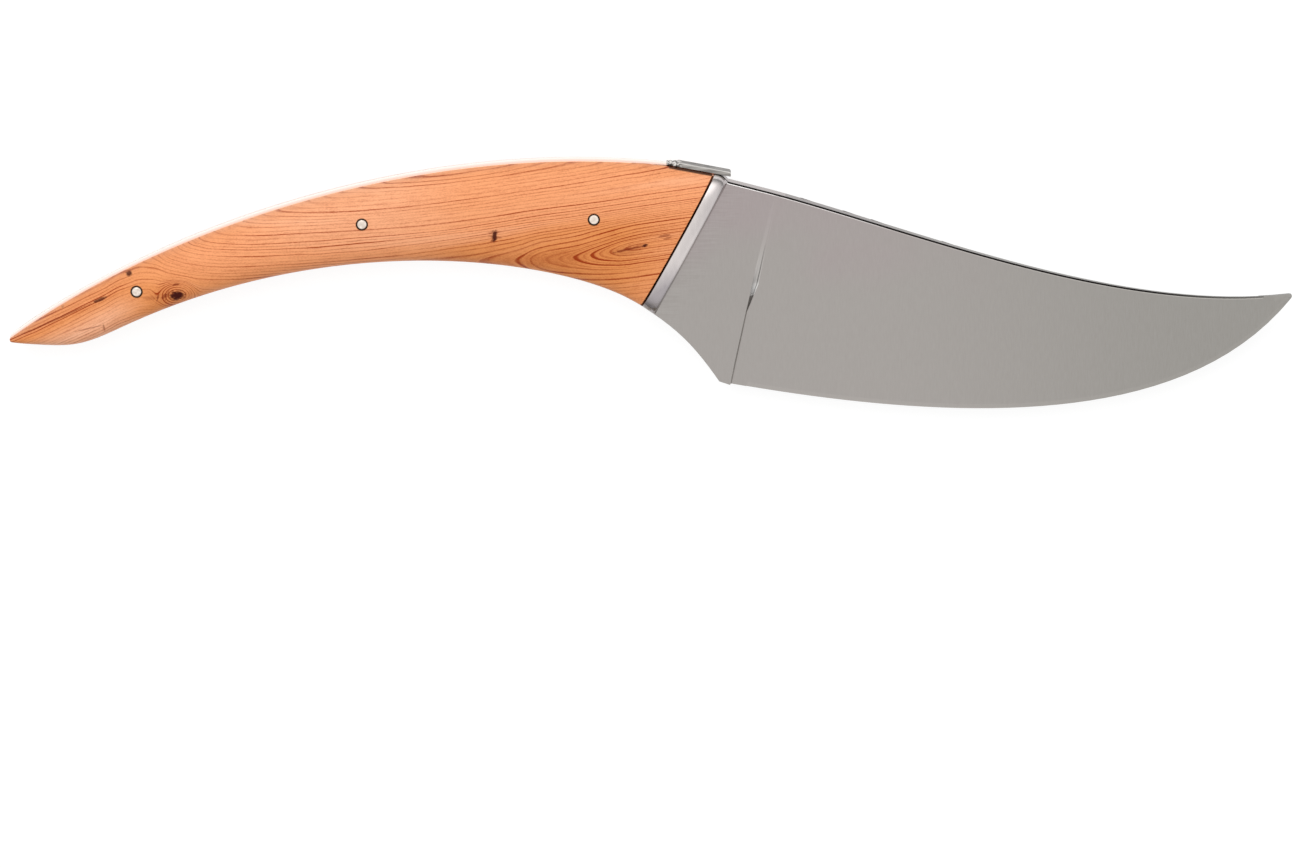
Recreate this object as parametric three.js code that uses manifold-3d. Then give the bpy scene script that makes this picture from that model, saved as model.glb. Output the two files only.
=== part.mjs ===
// A fixed-blade cheese knife: a full-tang blade between two wooden scales, with two bolsters,
// a thumb plate and three pins.
// Millimetres and degrees. The knife lies on its left side: +X runs to the point, +Y to the spine and +Z up.
// It is drawn from the guard's top, where the line between wood and bolster meets the back of the handle,
// with Z = 0 in the middle of the steel, and moved at the end to put its origin under the middle of its box.

import * as THREE from 'three';
import { mergeVertices } from 'three/addons/utils/BufferGeometryUtils.js';
import Module from 'manifold-3d';

const wasm = await Module();
wasm.setup();

// Blade outline
const STEEL_THICKNESS = 3.5;
const POINT_ADVANCE = 118.3; // where spine and edge would meet, ahead of the guard's top
const POINT_DROP = 25.15; // the same place, below the guard's top
const POINT_TRIM = 1.8; // length of spine and edge that the rounded point takes away
const SPINE_LEAVE_ANGLE = -15.5;
const SPINE_LEAVE_REACH = 31;
const SPINE_ARRIVE_ANGLE = 6.8;
const SPINE_ARRIVE_REACH = 34;
const EDGE_LEAVE_ANGLE = -10.3;
const EDGE_LEAVE_REACH = 70.8;
const EDGE_ARRIVE_ANGLE = 51.5;
const EDGE_ARRIVE_REACH = 23.3;
const HEEL_ADVANCE = 1.4;
const HEEL_DEPTH = 43.25;
const CHOIL_LEAVE_REACH = 6.8;
const CHOIL_ARRIVE_ANGLE = -56;
const CHOIL_ARRIVE_REACH = 7.7;

// Blade grind
const PLUNGE_TOP_ADVANCE = 11.9;
const PLUNGE_TOP_DROP = 3.95;
const RICASSO_LENGTH = 2.2; // from the heel to the foot of the plunge
const RICASSO_FALL = 0.75;
const PLUNGE_RUN_UPPER = 1.4; // length of the slope that leads from the ricasso down to the ground face
const PLUNGE_RUN_LOWER = 0.3;
const PLUNGE_TURN_UPPER = 0.49; // shares of the way from spine to edge between which the slope narrows
const PLUNGE_TURN_LOWER = 0.62;
const PLUNGE_ROUND = 1.3; // 1 is a straight slope; more of it rounds the slope's foot
const POINT_THICKNESS = 0.8; // of the spine, at the point
const SHOULDER_THICKNESS = 0.55; // where the ground face ends and the cutting bevel starts
const EDGE_THICKNESS = 0.12;
const EDGE_BEVEL = 0.9; // height of the cutting bevel
const BEVEL_SHARE = 0.5; // the most of the blade's depth that the bevel takes, close to the point
const CUT_MARGIN = 3; // how far a grinding cut runs past the steel
const CUT_LEAD = 0.05; // height over the steel at which the slope of the plunge starts

// Handle outline
const HANDLE_LENGTH = 142.6; // from the guard's top to the end of the tail
const TAIL_DROP = 34.5;
const NOSE_RADIUS = 0.5;
const BACK_LEAVE_ANGLE = 36.5;
const BACK_LEAVE_REACH = 35;
const BACK_ARRIVE_ANGLE = -5.9;
const BACK_ARRIVE_REACH = 53;
const SOLE_ANGLE = -3.3;
const SOLE_LEAVE_REACH = 11.7;
const SOLE_LENGTH = 21.6; // from the middle of the nose to where the sole has turned into the arch
const SOLE_RISE = 2.4;
const SOLE_ARRIVE_REACH = 10.3;
const ARCH_LEAVE_ANGLE = 26;
const ARCH_LEAVE_REACH = 52;
const ARCH_ARRIVE_ANGLE = -35;
const ARCH_ARRIVE_REACH = 14.7;

// Guard and bolsters
const GUARD_LENGTH = 30.95; // along the slanted line between wood and bolster
const GUARD_LEAN = 28.2; // of that line, from upright
const GUARD_GAP = 0.35; // open joint between wood and bolster
const BOLSTER_WIDTH = 3.2;
const BOLSTER_FRONT = 1.6; // height of the bolster's front edge above the steel
const BOLSTER_ROUND = 4.5; // exponent of its rounded front
const BROW_DROP = 1.1; // how far the back steps down across the bolster
const BROW_LEAVE_REACH = 1.2;
const BROW_ARRIVE_ANGLE = -43.7;
const BROW_ARRIVE_REACH = 0.6;

// Thumb plate, on a straight land along the back
const LAND_SLOPE = 10.8;
const LAND_ADVANCE = 1.2; // end of the land, ahead of the guard's top
const PLATE_SETBACK = 9.5;
const PLATE_OVERHANG = 3.7;
const PLATE_THICKNESS = 0.75;
const PLATE_NOSE = 0.45; // rounding of the plate's front end
const PLATE_BEVEL = 2.4; // length of the slope at its rear end
const PLATE_TOE = 0.2; // thickness left at the foot of that slope
const FILE_CUTS = 3;
const FILE_CUT_WIDTH = 0.45;
const FILE_CUT_DEPTH = 0.18;

// Scales
const SCALE_TAIL = 3;
const SCALE_MIDDLE = 5.4;
const SCALE_GUARD = 4.4;
const SCALE_ROUND = 2.3; // exponent of the rounded section: 2 is an ellipse
const TAIL_ROUNDING = 6; // length over which the tail's end rounds off, seen from above
const BOND_LINE = 0.1; // glue or braze film on the tang

// Pins
const PIN_RADIUS = 1;
const PIN_CLEARANCE = 0.2;
const PIN_PROUD = 0.12; // height of a pin's crown over the wood
const PIN_DOME = 0.25;
const PIN_LIFT = 0.95; // above the handle's middle line
const FRONT_PIN_SETBACK = 24;
const MIDDLE_PIN_SETBACK = 70.9;
const REAR_PIN_INSET = 26; // from the end of the tail

// Facets
const NOSE_STEPS = 3;
const BACK_STEPS = 40;
const LAND_STEPS = 3;
const SOLE_STEPS = 9;
const SECTION_STEPS = 16;
const BOLSTER_LAND_STEPS = 2;
const BROW_STEPS = 4;
const CHOIL_STEPS = 10;
const BLADE_STEPS = 36;
const POINT_STEPS = 5;
const PLUNGE_STEPS = 8;
const PIN_SIDES = 24;
const PIN_DOME_STEPS = 3;
const PIN_SEARCH_STEPS = 40; // halvings that place a pin on the middle line
const PLATE_NOSE_STEPS = 5;

const ORIGIN = new THREE.Vector2(0, 0);
const HALF_STEEL = STEEL_THICKNESS / 2;
const BOND_FACE = HALF_STEEL + BOND_LINE;

// Drawing helpers

function ahead(start, angle, length) {
  const turn = THREE.MathUtils.degToRad(angle);
  return new THREE.Vector2(start.x + length * Math.cos(turn), start.y + length * Math.sin(turn));
}

function midpoint(first, second) {
  return first.clone().lerp(second, 0.5);
}

// A free curve, set by the angle and the reach of its tangent at each end
function sweep(start, leaveAngle, leaveReach, end, arriveAngle, arriveReach) {
  const first = ahead(start, leaveAngle, leaveReach);
  const second = ahead(end, arriveAngle, -arriveReach);
  return new THREE.CubicBezierCurve(start, first, second, end);
}

function arc(centre, radius, startAngle, endAngle) {
  const start = THREE.MathUtils.degToRad(startAngle);
  const end = THREE.MathUtils.degToRad(endAngle);
  return new THREE.EllipseCurve(centre.x, centre.y, radius, radius, start, end, startAngle > endAngle);
}

// Points along curves that follow one another, each cut into its own number of equal steps
function trace(...stretches) {
  const points = [];
  for (const [curve, steps] of stretches) {
    points.pop();
    points.push(...curve.getSpacedPoints(steps));
  }
  return points;
}

// Height of a rounded form at a share from its middle, 0, to its end, 1
function rounded(share, exponent) {
  return Math.pow(1 - Math.pow(Math.abs(share), exponent), 1 / exponent);
}

// A closed skin over rings with equal numbers of points, which turn to the left as seen from the next ring
function loft(rings) {
  const count = rings[0].length;
  const last = (rings.length - 1) * count;
  const faces = [];
  for (let near = 0; near < last; near += count) {
    const far = near + count;
    for (let column = 0; column < count; column += 1) {
      const next = (column + 1) % count;
      faces.push(near + column, near + next, far + next);
      faces.push(near + column, far + next, far + column);
    }
  }
  for (let column = 1; column < count - 1; column += 1) {
    faces.push(0, column + 1, column);
    faces.push(last, last + column, last + column + 1);
  }
  const geometry = new THREE.BufferGeometry().setFromPoints(rings.flat());
  geometry.setIndex(faces);
  return geometry;
}

// The same rings on the right side, 1, or mirrored to the left side, -1
function loftOnSide(rings, side) {
  if (side > 0) {
    return loft(rings);
  }
  const flip = (corner) => new THREE.Vector3(corner.x, corner.y, -corner.z);
  return loft(rings.map((ring) => ring.map(flip)).reverse());
}

function asSolid(geometry) {
  const bare = new THREE.BufferGeometry();
  bare.setAttribute('position', geometry.getAttribute('position'));
  bare.setIndex(geometry.index);
  const merged = mergeVertices(bare);
  const vertProperties = merged.getAttribute('position').array;
  const triVerts = new Uint32Array(merged.index.array);
  return new wasm.Manifold(new wasm.Mesh({ numProp: 3, vertProperties, triVerts }));
}

function asGeometry(solid) {
  const mesh = solid.getMesh();
  const geometry = new THREE.BufferGeometry();
  geometry.setAttribute('position', new THREE.BufferAttribute(mesh.vertProperties, 3));
  geometry.setIndex(new THREE.BufferAttribute(mesh.triVerts, 1));
  return geometry;
}

function named(name, geometry, material) {
  const mesh = new THREE.Mesh(geometry, material);
  mesh.name = name;
  geometry.computeVertexNormals();
  return mesh;
}

const steel = () => new THREE.MeshStandardMaterial({ color: 0xa39e99, roughness: 0.35, metalness: 1 });
const brightSteel = () => new THREE.MeshStandardMaterial({ color: 0xc4c0bd, roughness: 0.25, metalness: 1 });
const wood = () => new THREE.MeshStandardMaterial({ color: 0xe29a66, roughness: 0.45, metalness: 0 });

// Places that several pieces share

const noseCentre = new THREE.Vector2(NOSE_RADIUS - HANDLE_LENGTH, -TAIL_DROP);
const noseAngle = (BACK_LEAVE_ANGLE + SOLE_ANGLE) / 2 + 180;
const noseTop = ahead(noseCentre, BACK_LEAVE_ANGLE + 90, NOSE_RADIUS);
const noseFoot = ahead(noseCentre, SOLE_ANGLE + 270, NOSE_RADIUS);
const plateRear = ahead(ORIGIN, -LAND_SLOPE, -PLATE_SETBACK);
const landFront = ahead(ORIGIN, -LAND_SLOPE, LAND_ADVANCE);
const soleEnd = new THREE.Vector2(noseCentre.x + SOLE_LENGTH, noseCentre.y + SOLE_RISE);
const guardFoot = ahead(ORIGIN, 90 - GUARD_LEAN, -GUARD_LENGTH);
const heel = new THREE.Vector2(HEEL_ADVANCE, -HEEL_DEPTH);
const plungeTop = new THREE.Vector2(PLUNGE_TOP_ADVANCE, -PLUNGE_TOP_DROP);
const plungeFoot = new THREE.Vector2(heel.x + RICASSO_LENGTH, heel.y - RICASSO_FALL);
const sharpPoint = new THREE.Vector2(POINT_ADVANCE, -POINT_DROP);
const spineEnd = ahead(sharpPoint, SPINE_ARRIVE_ANGLE, -POINT_TRIM);
const edgeEnd = ahead(sharpPoint, EDGE_ARRIVE_ANGLE, -POINT_TRIM);

// Where a line at this distance ahead of the guard line leaves the handle, at the back and at the belly
function guardLineAt(distance) {
  const guardNormal = -GUARD_LEAN;
  const alongLand = distance / Math.cos(THREE.MathUtils.degToRad(-LAND_SLOPE - guardNormal));
  const alongBelly = distance / Math.cos(THREE.MathUtils.degToRad(ARCH_ARRIVE_ANGLE - guardNormal));
  return {
    top: ahead(ORIGIN, -LAND_SLOPE, alongLand),
    foot: ahead(guardFoot, ARCH_ARRIVE_ANGLE, alongBelly),
  };
}

const bolsterRear = guardLineAt(GUARD_GAP);
const bolsterFront = guardLineAt(GUARD_GAP + BOLSTER_WIDTH);
const browFoot = ahead(bolsterFront.top, 90 - GUARD_LEAN, -BROW_DROP);

// The handle's back and belly, from nose to guard. Scales and tang share them, so their edges are flush.
const backNose = arc(noseCentre, NOSE_RADIUS, noseAngle, BACK_LEAVE_ANGLE + 90);
const backSweep = sweep(
  noseTop, BACK_LEAVE_ANGLE, BACK_LEAVE_REACH,
  plateRear, BACK_ARRIVE_ANGLE, BACK_ARRIVE_REACH,
);
const land = new THREE.LineCurve(plateRear, ORIGIN);
const backRail = trace([backNose, NOSE_STEPS], [backSweep, BACK_STEPS], [land, LAND_STEPS]);

const bellyNose = arc(noseCentre, NOSE_RADIUS, noseAngle, SOLE_ANGLE + 270);
const sole = sweep(noseFoot, SOLE_ANGLE, SOLE_LEAVE_REACH, soleEnd, ARCH_LEAVE_ANGLE, SOLE_ARRIVE_REACH);
const arch = sweep(
  soleEnd, ARCH_LEAVE_ANGLE, ARCH_LEAVE_REACH,
  guardFoot, ARCH_ARRIVE_ANGLE, ARCH_ARRIVE_REACH,
);
const archSteps = BACK_STEPS + LAND_STEPS - SOLE_STEPS;
const bellyRail = trace([bellyNose, NOSE_STEPS], [sole, SOLE_STEPS], [arch, archSteps]);

// The bolster's back and belly, shared with the tang
const bolsterLand = new THREE.LineCurve(bolsterRear.top, landFront);
const brow = sweep(
  landFront, -LAND_SLOPE, BROW_LEAVE_REACH,
  browFoot, BROW_ARRIVE_ANGLE, BROW_ARRIVE_REACH,
);
const bolsterBack = trace([bolsterLand, BOLSTER_LAND_STEPS], [brow, BROW_STEPS]);
const bolsterSteps = bolsterBack.length - 1;
const bolsterBelly = new THREE.LineCurve(bolsterRear.foot, bolsterFront.foot).getSpacedPoints(bolsterSteps);

// The blade's spine and edge, from the plunge to the rounded point
const spine = sweep(
  plungeTop, SPINE_LEAVE_ANGLE, SPINE_LEAVE_REACH,
  spineEnd, SPINE_ARRIVE_ANGLE, SPINE_ARRIVE_REACH,
).getSpacedPoints(BLADE_STEPS);
const edge = sweep(
  plungeFoot, EDGE_LEAVE_ANGLE, EDGE_LEAVE_REACH,
  edgeEnd, EDGE_ARRIVE_ANGLE, EDGE_ARRIVE_REACH,
).getSpacedPoints(BLADE_STEPS);

// Height of a scale above its bond face, at a point on the handle's middle line: a bow through three heights
const guardMiddle = midpoint(ORIGIN, guardFoot);

function scaleHeight(middle) {
  const share = (middle.x + HANDLE_LENGTH) / (guardMiddle.x + HANDLE_LENGTH);
  const straight = SCALE_TAIL + (SCALE_GUARD - SCALE_TAIL) * share;
  const bow = SCALE_MIDDLE - (SCALE_TAIL + SCALE_GUARD) / 2;
  const plain = straight + 4 * bow * share * (1 - share);
  const fromEnd = Math.min((middle.x + HANDLE_LENGTH) / TAIL_ROUNDING, 1);
  return plain * rounded(1 - fromEnd, 2);
}

// Half of a rounded handle section, from the back over the crown to the belly
function halfSection(back, belly, height) {
  const middle = midpoint(back, belly);
  const ring = [];
  for (let step = 0; step <= SECTION_STEPS; step += 1) {
    const turn = (Math.PI * step) / SECTION_STEPS;
    const across = Math.sign(Math.cos(turn)) * Math.pow(Math.abs(Math.cos(turn)), 2 / SCALE_ROUND);
    const up = Math.pow(Math.abs(Math.sin(turn)), 2 / SCALE_ROUND);
    const place = middle.clone().lerp(back, across);
    ring.push(new THREE.Vector3(place.x, place.y, BOND_FACE + height * up));
  }
  return ring;
}

// Pins sit a little above the handle's middle line. This finds the handle at a given X.
const middles = backRail.map((back, station) => midpoint(back, bellyRail[station]));
const middleLine = new THREE.SplineCurve(middles);
const halfHeights = backRail.map((back, station) => back.distanceTo(bellyRail[station]) / 2);

function pinAt(name, x) {
  let low = 0;
  let high = 1;
  for (let halving = 0; halving < PIN_SEARCH_STEPS; halving += 1) {
    const share = (low + high) / 2;
    if (middleLine.getPoint(share).x < x) {
      low = share;
    } else {
      high = share;
    }
  }
  const middle = middleLine.getPoint(low);
  const halfHeight = halfHeights[Math.round(low * (halfHeights.length - 1))];
  const woodHeight = scaleHeight(middle) * rounded(PIN_LIFT / halfHeight, SCALE_ROUND);
  return { name, x, y: middle.y + PIN_LIFT, crown: BOND_FACE + woodHeight + PIN_PROUD };
}

const pins = [
  pinAt('pin_front', -FRONT_PIN_SETBACK),
  pinAt('pin_middle', -MIDDLE_PIN_SETBACK),
  pinAt('pin_rear', REAR_PIN_INSET - HANDLE_LENGTH),
];

// Blade: the outline cut from flat steel, then ground on both sides

function bladePlate() {
  const roundedPoint = new THREE.QuadraticBezierCurve(spineEnd, sharpPoint, edgeEnd);
  const choil = sweep(
    bolsterFront.foot, ARCH_ARRIVE_ANGLE, CHOIL_LEAVE_REACH,
    heel, CHOIL_ARRIVE_ANGLE, CHOIL_ARRIVE_REACH,
  );
  const shape = new THREE.Shape([
    ...backRail,
    ...bolsterBack,
    ...spine,
    ...roundedPoint.getSpacedPoints(POINT_STEPS).slice(1),
    ...edge.toReversed().slice(1),
    ...choil.getSpacedPoints(CHOIL_STEPS).toReversed(),
    ...bolsterBelly.toReversed().slice(1),
    ...bellyRail.toReversed().slice(0, -1),
  ]);
  const plate = new THREE.ExtrudeGeometry(shape, { depth: STEEL_THICKNESS, bevelEnabled: false });
  plate.translate(0, 0, -HALF_STEEL);
  return plate;
}

// Ring of a grinding cut across the blade: a straight low line through two heights, carried past both rails
function cutRing(top, foot, topHeight, footHeight) {
  const length = top.distanceTo(foot);
  const ceiling = HALF_STEEL + CUT_MARGIN;
  const slope = (footHeight - topHeight) / length;
  const outerTop = top.clone().lerp(foot, -CUT_MARGIN / length);
  const outerFoot = top.clone().lerp(foot, 1 + CUT_MARGIN / length);
  return [
    new THREE.Vector3(outerTop.x, outerTop.y, topHeight - slope * CUT_MARGIN),
    new THREE.Vector3(outerTop.x, outerTop.y, ceiling),
    new THREE.Vector3(outerFoot.x, outerFoot.y, ceiling),
    new THREE.Vector3(outerFoot.x, outerFoot.y, footHeight + slope * CUT_MARGIN),
  ];
}

// The last ring again, ahead of the point, so that a cut runs out past the steel
function runOut(ring) {
  return ring.map((corner) => new THREE.Vector3(corner.x + CUT_MARGIN, corner.y, corner.z));
}

// Where the cutting bevel starts on each line from spine to edge
const shoulder = edge.map((foot, station) => {
  const length = foot.distanceTo(spine[station]);
  return foot.clone().lerp(spine[station], Math.min(EDGE_BEVEL / length, BEVEL_SHARE));
});

// The ground face: straight from spine to shoulder, thinner towards the point. At the plunge it leaves the
// ricasso by a slope, which is long near the spine and short near the edge.
function faceCut() {
  const rings = spine.map((top, station) => {
    const thickness = THREE.MathUtils.lerp(STEEL_THICKNESS, POINT_THICKNESS, station / BLADE_STEPS);
    const corners = cutRing(top, shoulder[station], thickness / 2, SHOULDER_THICKNESS / 2);
    const [topLow, topHigh, footHigh, footLow] = corners;
    const turnLower = topLow.clone().lerp(footLow, PLUNGE_TURN_LOWER);
    const turnUpper = topLow.clone().lerp(footLow, PLUNGE_TURN_UPPER);
    return [topLow, topHigh, footHigh, footLow, turnLower, turnUpper];
  });
  const runs = [
    PLUNGE_RUN_UPPER,
    PLUNGE_RUN_UPPER,
    PLUNGE_RUN_LOWER,
    PLUNGE_RUN_LOWER,
    PLUNGE_RUN_LOWER,
    PLUNGE_RUN_UPPER,
  ];
  const plunge = [];
  for (let step = 0; step <= PLUNGE_STEPS; step += 1) {
    const share = step / PLUNGE_STEPS;
    const depth = 1 - Math.pow(1 - share, PLUNGE_ROUND);
    plunge.push(rings[0].map((corner, place) => {
      const start = Math.max(corner.z, HALF_STEEL + CUT_LEAD);
      const height = THREE.MathUtils.lerp(start, corner.z, depth);
      return new THREE.Vector3(corner.x + runs[place] * share, corner.y, height);
    }));
  }
  return [...plunge, ...rings.slice(1), runOut(rings.at(-1))];
}

// The cutting bevel along the edge
function edgeCut() {
  const rings = shoulder.map((top, station) => {
    return cutRing(top, edge[station], SHOULDER_THICKNESS / 2, EDGE_THICKNESS / 2);
  });
  return [...rings.slice(1), runOut(rings.at(-1))];
}

function pinHole(pin) {
  const radius = PIN_RADIUS + PIN_CLEARANCE;
  const length = 2 * (pin.crown + CUT_MARGIN);
  const hole = new THREE.CylinderGeometry(radius, radius, length, PIN_SIDES);
  hole.rotateX(Math.PI / 2);
  hole.translate(pin.x, pin.y, 0);
  return asSolid(hole);
}

function withPinHoles(solid) {
  let drilled = solid;
  for (const pin of pins) {
    drilled = drilled.subtract(pinHole(pin));
  }
  return asGeometry(drilled);
}

function makeBlade() {
  let blank = asSolid(bladePlate());
  for (const side of [1, -1]) {
    blank = blank.subtract(asSolid(loftOnSide(faceCut(), side)));
    blank = blank.subtract(asSolid(loftOnSide(edgeCut(), side)));
  }
  return named('blade', withPinHoles(blank), steel());
}

// Scales: a skin over half sections from just ahead of the nose to the guard

function makeScale(name, side) {
  const rings = [];
  for (let station = 1; station < backRail.length; station += 1) {
    const back = backRail[station];
    const belly = bellyRail[station];
    rings.push(halfSection(back, belly, scaleHeight(middles[station])));
  }
  return named(name, withPinHoles(asSolid(loftOnSide(rings, side))), wood());
}

// Bolsters: flush with the scale at the joint, rounded down towards the blade

function makeBolster(name, side) {
  const rings = bolsterBack.map((back, step) => {
    const fall = rounded(step / bolsterSteps, BOLSTER_ROUND);
    const height = THREE.MathUtils.lerp(BOLSTER_FRONT, SCALE_GUARD, fall);
    return halfSection(back, bolsterBelly[step], height);
  });
  return named(name, loftOnSide(rings, side), brightSteel());
}

// Thumb plate: drawn along the land, with file cuts across the slope at its rear end

function makeThumbPlate() {
  const low = BOND_LINE;
  const high = BOND_LINE + PLATE_THICKNESS;
  const slopeFoot = new THREE.Vector2(-PLATE_SETBACK, low + PLATE_TOE);
  const slopeTop = new THREE.Vector2(PLATE_BEVEL - PLATE_SETBACK, high);
  const slope = slopeTop.clone().sub(slopeFoot);
  const into = new THREE.Vector2(slope.y, -slope.x).setLength(FILE_CUT_DEPTH);
  const halfCut = FILE_CUT_WIDTH / slope.length() / 2;
  const nose = arc(new THREE.Vector2(PLATE_OVERHANG - PLATE_NOSE, high - PLATE_NOSE), PLATE_NOSE, 0, 90);
  const outline = [
    new THREE.Vector2(-PLATE_SETBACK, low),
    new THREE.Vector2(PLATE_OVERHANG, low),
    ...nose.getSpacedPoints(PLATE_NOSE_STEPS),
    slopeTop,
  ];
  for (let cut = FILE_CUTS - 1; cut >= 0; cut -= 1) {
    const share = (cut + 0.5) / FILE_CUTS;
    outline.push(slopeFoot.clone().lerp(slopeTop, share + halfCut));
    outline.push(slopeFoot.clone().lerp(slopeTop, share).add(into));
    outline.push(slopeFoot.clone().lerp(slopeTop, share - halfCut));
  }
  outline.push(slopeFoot);
  const shape = new THREE.Shape(outline);
  const plate = new THREE.ExtrudeGeometry(shape, { depth: STEEL_THICKNESS, bevelEnabled: false });
  const mesh = named('thumb_plate', plate, brightSteel());
  mesh.rotation.z = THREE.MathUtils.degToRad(-LAND_SLOPE);
  mesh.position.z = -HALF_STEEL;
  return mesh;
}

// Pins: round steel through both scales and the tang, with a low crown at each end

function makePin({ name, x, y, crown }) {
  const lower = [];
  for (let step = 0; step <= PIN_DOME_STEPS; step += 1) {
    const share = step / PIN_DOME_STEPS;
    lower.push(new THREE.Vector2(PIN_RADIUS * share, PIN_DOME - crown - PIN_DOME * rounded(share, 2)));
  }
  const upper = lower.map((corner) => new THREE.Vector2(corner.x, -corner.y));
  const pin = new THREE.LatheGeometry([...lower, ...upper.reverse()], PIN_SIDES);
  pin.rotateX(Math.PI / 2);
  const mesh = named(name, pin, brightSteel());
  mesh.position.set(x, y, 0);
  return mesh;
}

const knife = new THREE.Group();
knife.add(
  makeBlade(),
  makeBolster('right_bolster', 1),
  makeBolster('left_bolster', -1),
  makeScale('right_scale', 1),
  makeScale('left_scale', -1),
  makeThumbPlate(),
  ...pins.map(makePin),
);

const box = new THREE.Box3().setFromObject(knife, true);
const centre = box.getCenter(new THREE.Vector3());
knife.position.set(-centre.x, -centre.y, -box.min.z);

export default knife;
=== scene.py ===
# %% [markdown]
# # Dressing a cheese knife
# The solids of this knife come ready from CAD: a ground blade with a full tang, two wooden scales, two steel
# bolsters, a thumb plate and three pins. This lesson gives them their looks. Each piece is rebuilt with a
# finer skin in the place that its solid holds, and gets a finish of its own.
# Everything is in metres, in the CAD's own frame: +X runs to the point, +Y to the spine, and +Z out of the
# right side of the knife, which is the side that the camera sees.

# %% Load the solids
import math
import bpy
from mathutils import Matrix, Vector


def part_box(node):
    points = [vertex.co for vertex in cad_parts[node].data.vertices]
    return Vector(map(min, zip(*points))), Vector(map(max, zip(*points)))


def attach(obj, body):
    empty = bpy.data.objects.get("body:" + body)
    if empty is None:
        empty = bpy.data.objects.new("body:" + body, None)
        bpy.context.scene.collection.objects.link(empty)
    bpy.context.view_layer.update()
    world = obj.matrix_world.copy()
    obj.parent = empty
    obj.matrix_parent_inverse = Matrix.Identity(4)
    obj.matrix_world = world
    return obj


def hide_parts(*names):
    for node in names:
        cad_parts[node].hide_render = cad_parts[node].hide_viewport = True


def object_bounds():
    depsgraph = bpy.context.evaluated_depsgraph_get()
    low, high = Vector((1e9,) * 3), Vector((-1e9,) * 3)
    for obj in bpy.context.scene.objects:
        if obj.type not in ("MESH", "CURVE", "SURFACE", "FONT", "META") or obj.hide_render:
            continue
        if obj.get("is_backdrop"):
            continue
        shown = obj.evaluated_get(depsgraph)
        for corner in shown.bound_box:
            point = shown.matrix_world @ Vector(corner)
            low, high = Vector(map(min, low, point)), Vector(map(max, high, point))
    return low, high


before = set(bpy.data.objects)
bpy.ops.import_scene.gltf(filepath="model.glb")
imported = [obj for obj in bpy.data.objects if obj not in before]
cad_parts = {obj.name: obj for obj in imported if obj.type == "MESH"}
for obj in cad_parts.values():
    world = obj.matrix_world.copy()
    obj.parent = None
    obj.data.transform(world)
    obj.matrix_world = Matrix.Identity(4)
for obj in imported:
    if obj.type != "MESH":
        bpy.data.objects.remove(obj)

from types import SimpleNamespace

import bmesh
import bpy
import numpy as np
from mathutils import Matrix, Vector

MM = 0.001

cad_low, cad_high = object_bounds()
centre = (cad_low + cad_high) / 2
print("solids:", sorted(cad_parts))
print("size in mm:", [round(side / MM, 2) for side in cad_high - cad_low])

# %% [markdown]
# ## The camera
# The knife lies on its left side and is seen from almost straight above. It rests on the crown of the handle
# and on the edge of the blade, so it is rolled a little about its own length and shows a sliver of its back.
# Rolling the camera instead of the knife gives the same picture and leaves every piece in the CAD's frame.
# A long lens far away keeps the outline free of perspective, as in a catalogue picture.

# %% Camera
PHOTO_WIDTH = 1304
PHOTO_MIDDLE = (652, 434)  # pixels
KNIFE_MIDDLE = (650.8, 283.9)  # the middle of the knife's box, in the same pixels
FRAME_WIDTH = 264.5 * MM  # what the picture takes in across, at the knife
CAMERA_DISTANCE = 3.0
SENSOR_WIDTH = 36  # millimetres, as Blender counts sensors and lenses
ROLL = math.radians(14)

toward_camera = Vector((0, math.sin(ROLL), math.cos(ROLL)))
picture_right = Vector((1, 0, 0))
picture_up = toward_camera.cross(picture_right)

metres_per_pixel = FRAME_WIDTH / PHOTO_WIDTH
aim = centre.copy()
aim += picture_right * (PHOTO_MIDDLE[0] - KNIFE_MIDDLE[0]) * metres_per_pixel
aim -= picture_up * (PHOTO_MIDDLE[1] - KNIFE_MIDDLE[1]) * metres_per_pixel

scene = bpy.context.scene
camera_data = bpy.data.cameras.new("camera")
camera_data.sensor_width = SENSOR_WIDTH
camera_data.lens = SENSOR_WIDTH * CAMERA_DISTANCE / FRAME_WIDTH
camera = bpy.data.objects.new("camera", camera_data)
turn = Matrix((picture_right, picture_up, toward_camera)).transposed().to_4x4()
camera.matrix_world = Matrix.Translation(aim + toward_camera * CAMERA_DISTANCE) @ turn
scene.collection.objects.link(camera)
scene.camera = camera
scene.view_settings.view_transform = "Standard"
print(f"lens {camera_data.lens:.1f} mm, {CAMERA_DISTANCE} m away")

# %% [markdown]
# ## Sums that become nodes
# Finishes and shapes below are node trees, and most of their nodes do plain arithmetic. Building those one by
# one hides the sum that they stand for. This small class wraps a socket, so that `1 - mask` or `a * b + c`
# adds the Math nodes by itself. Its method `make` adds any other node: the type, then its settings, then the
# values or links of its sockets. The same class serves shaders and Geometry Nodes.

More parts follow.
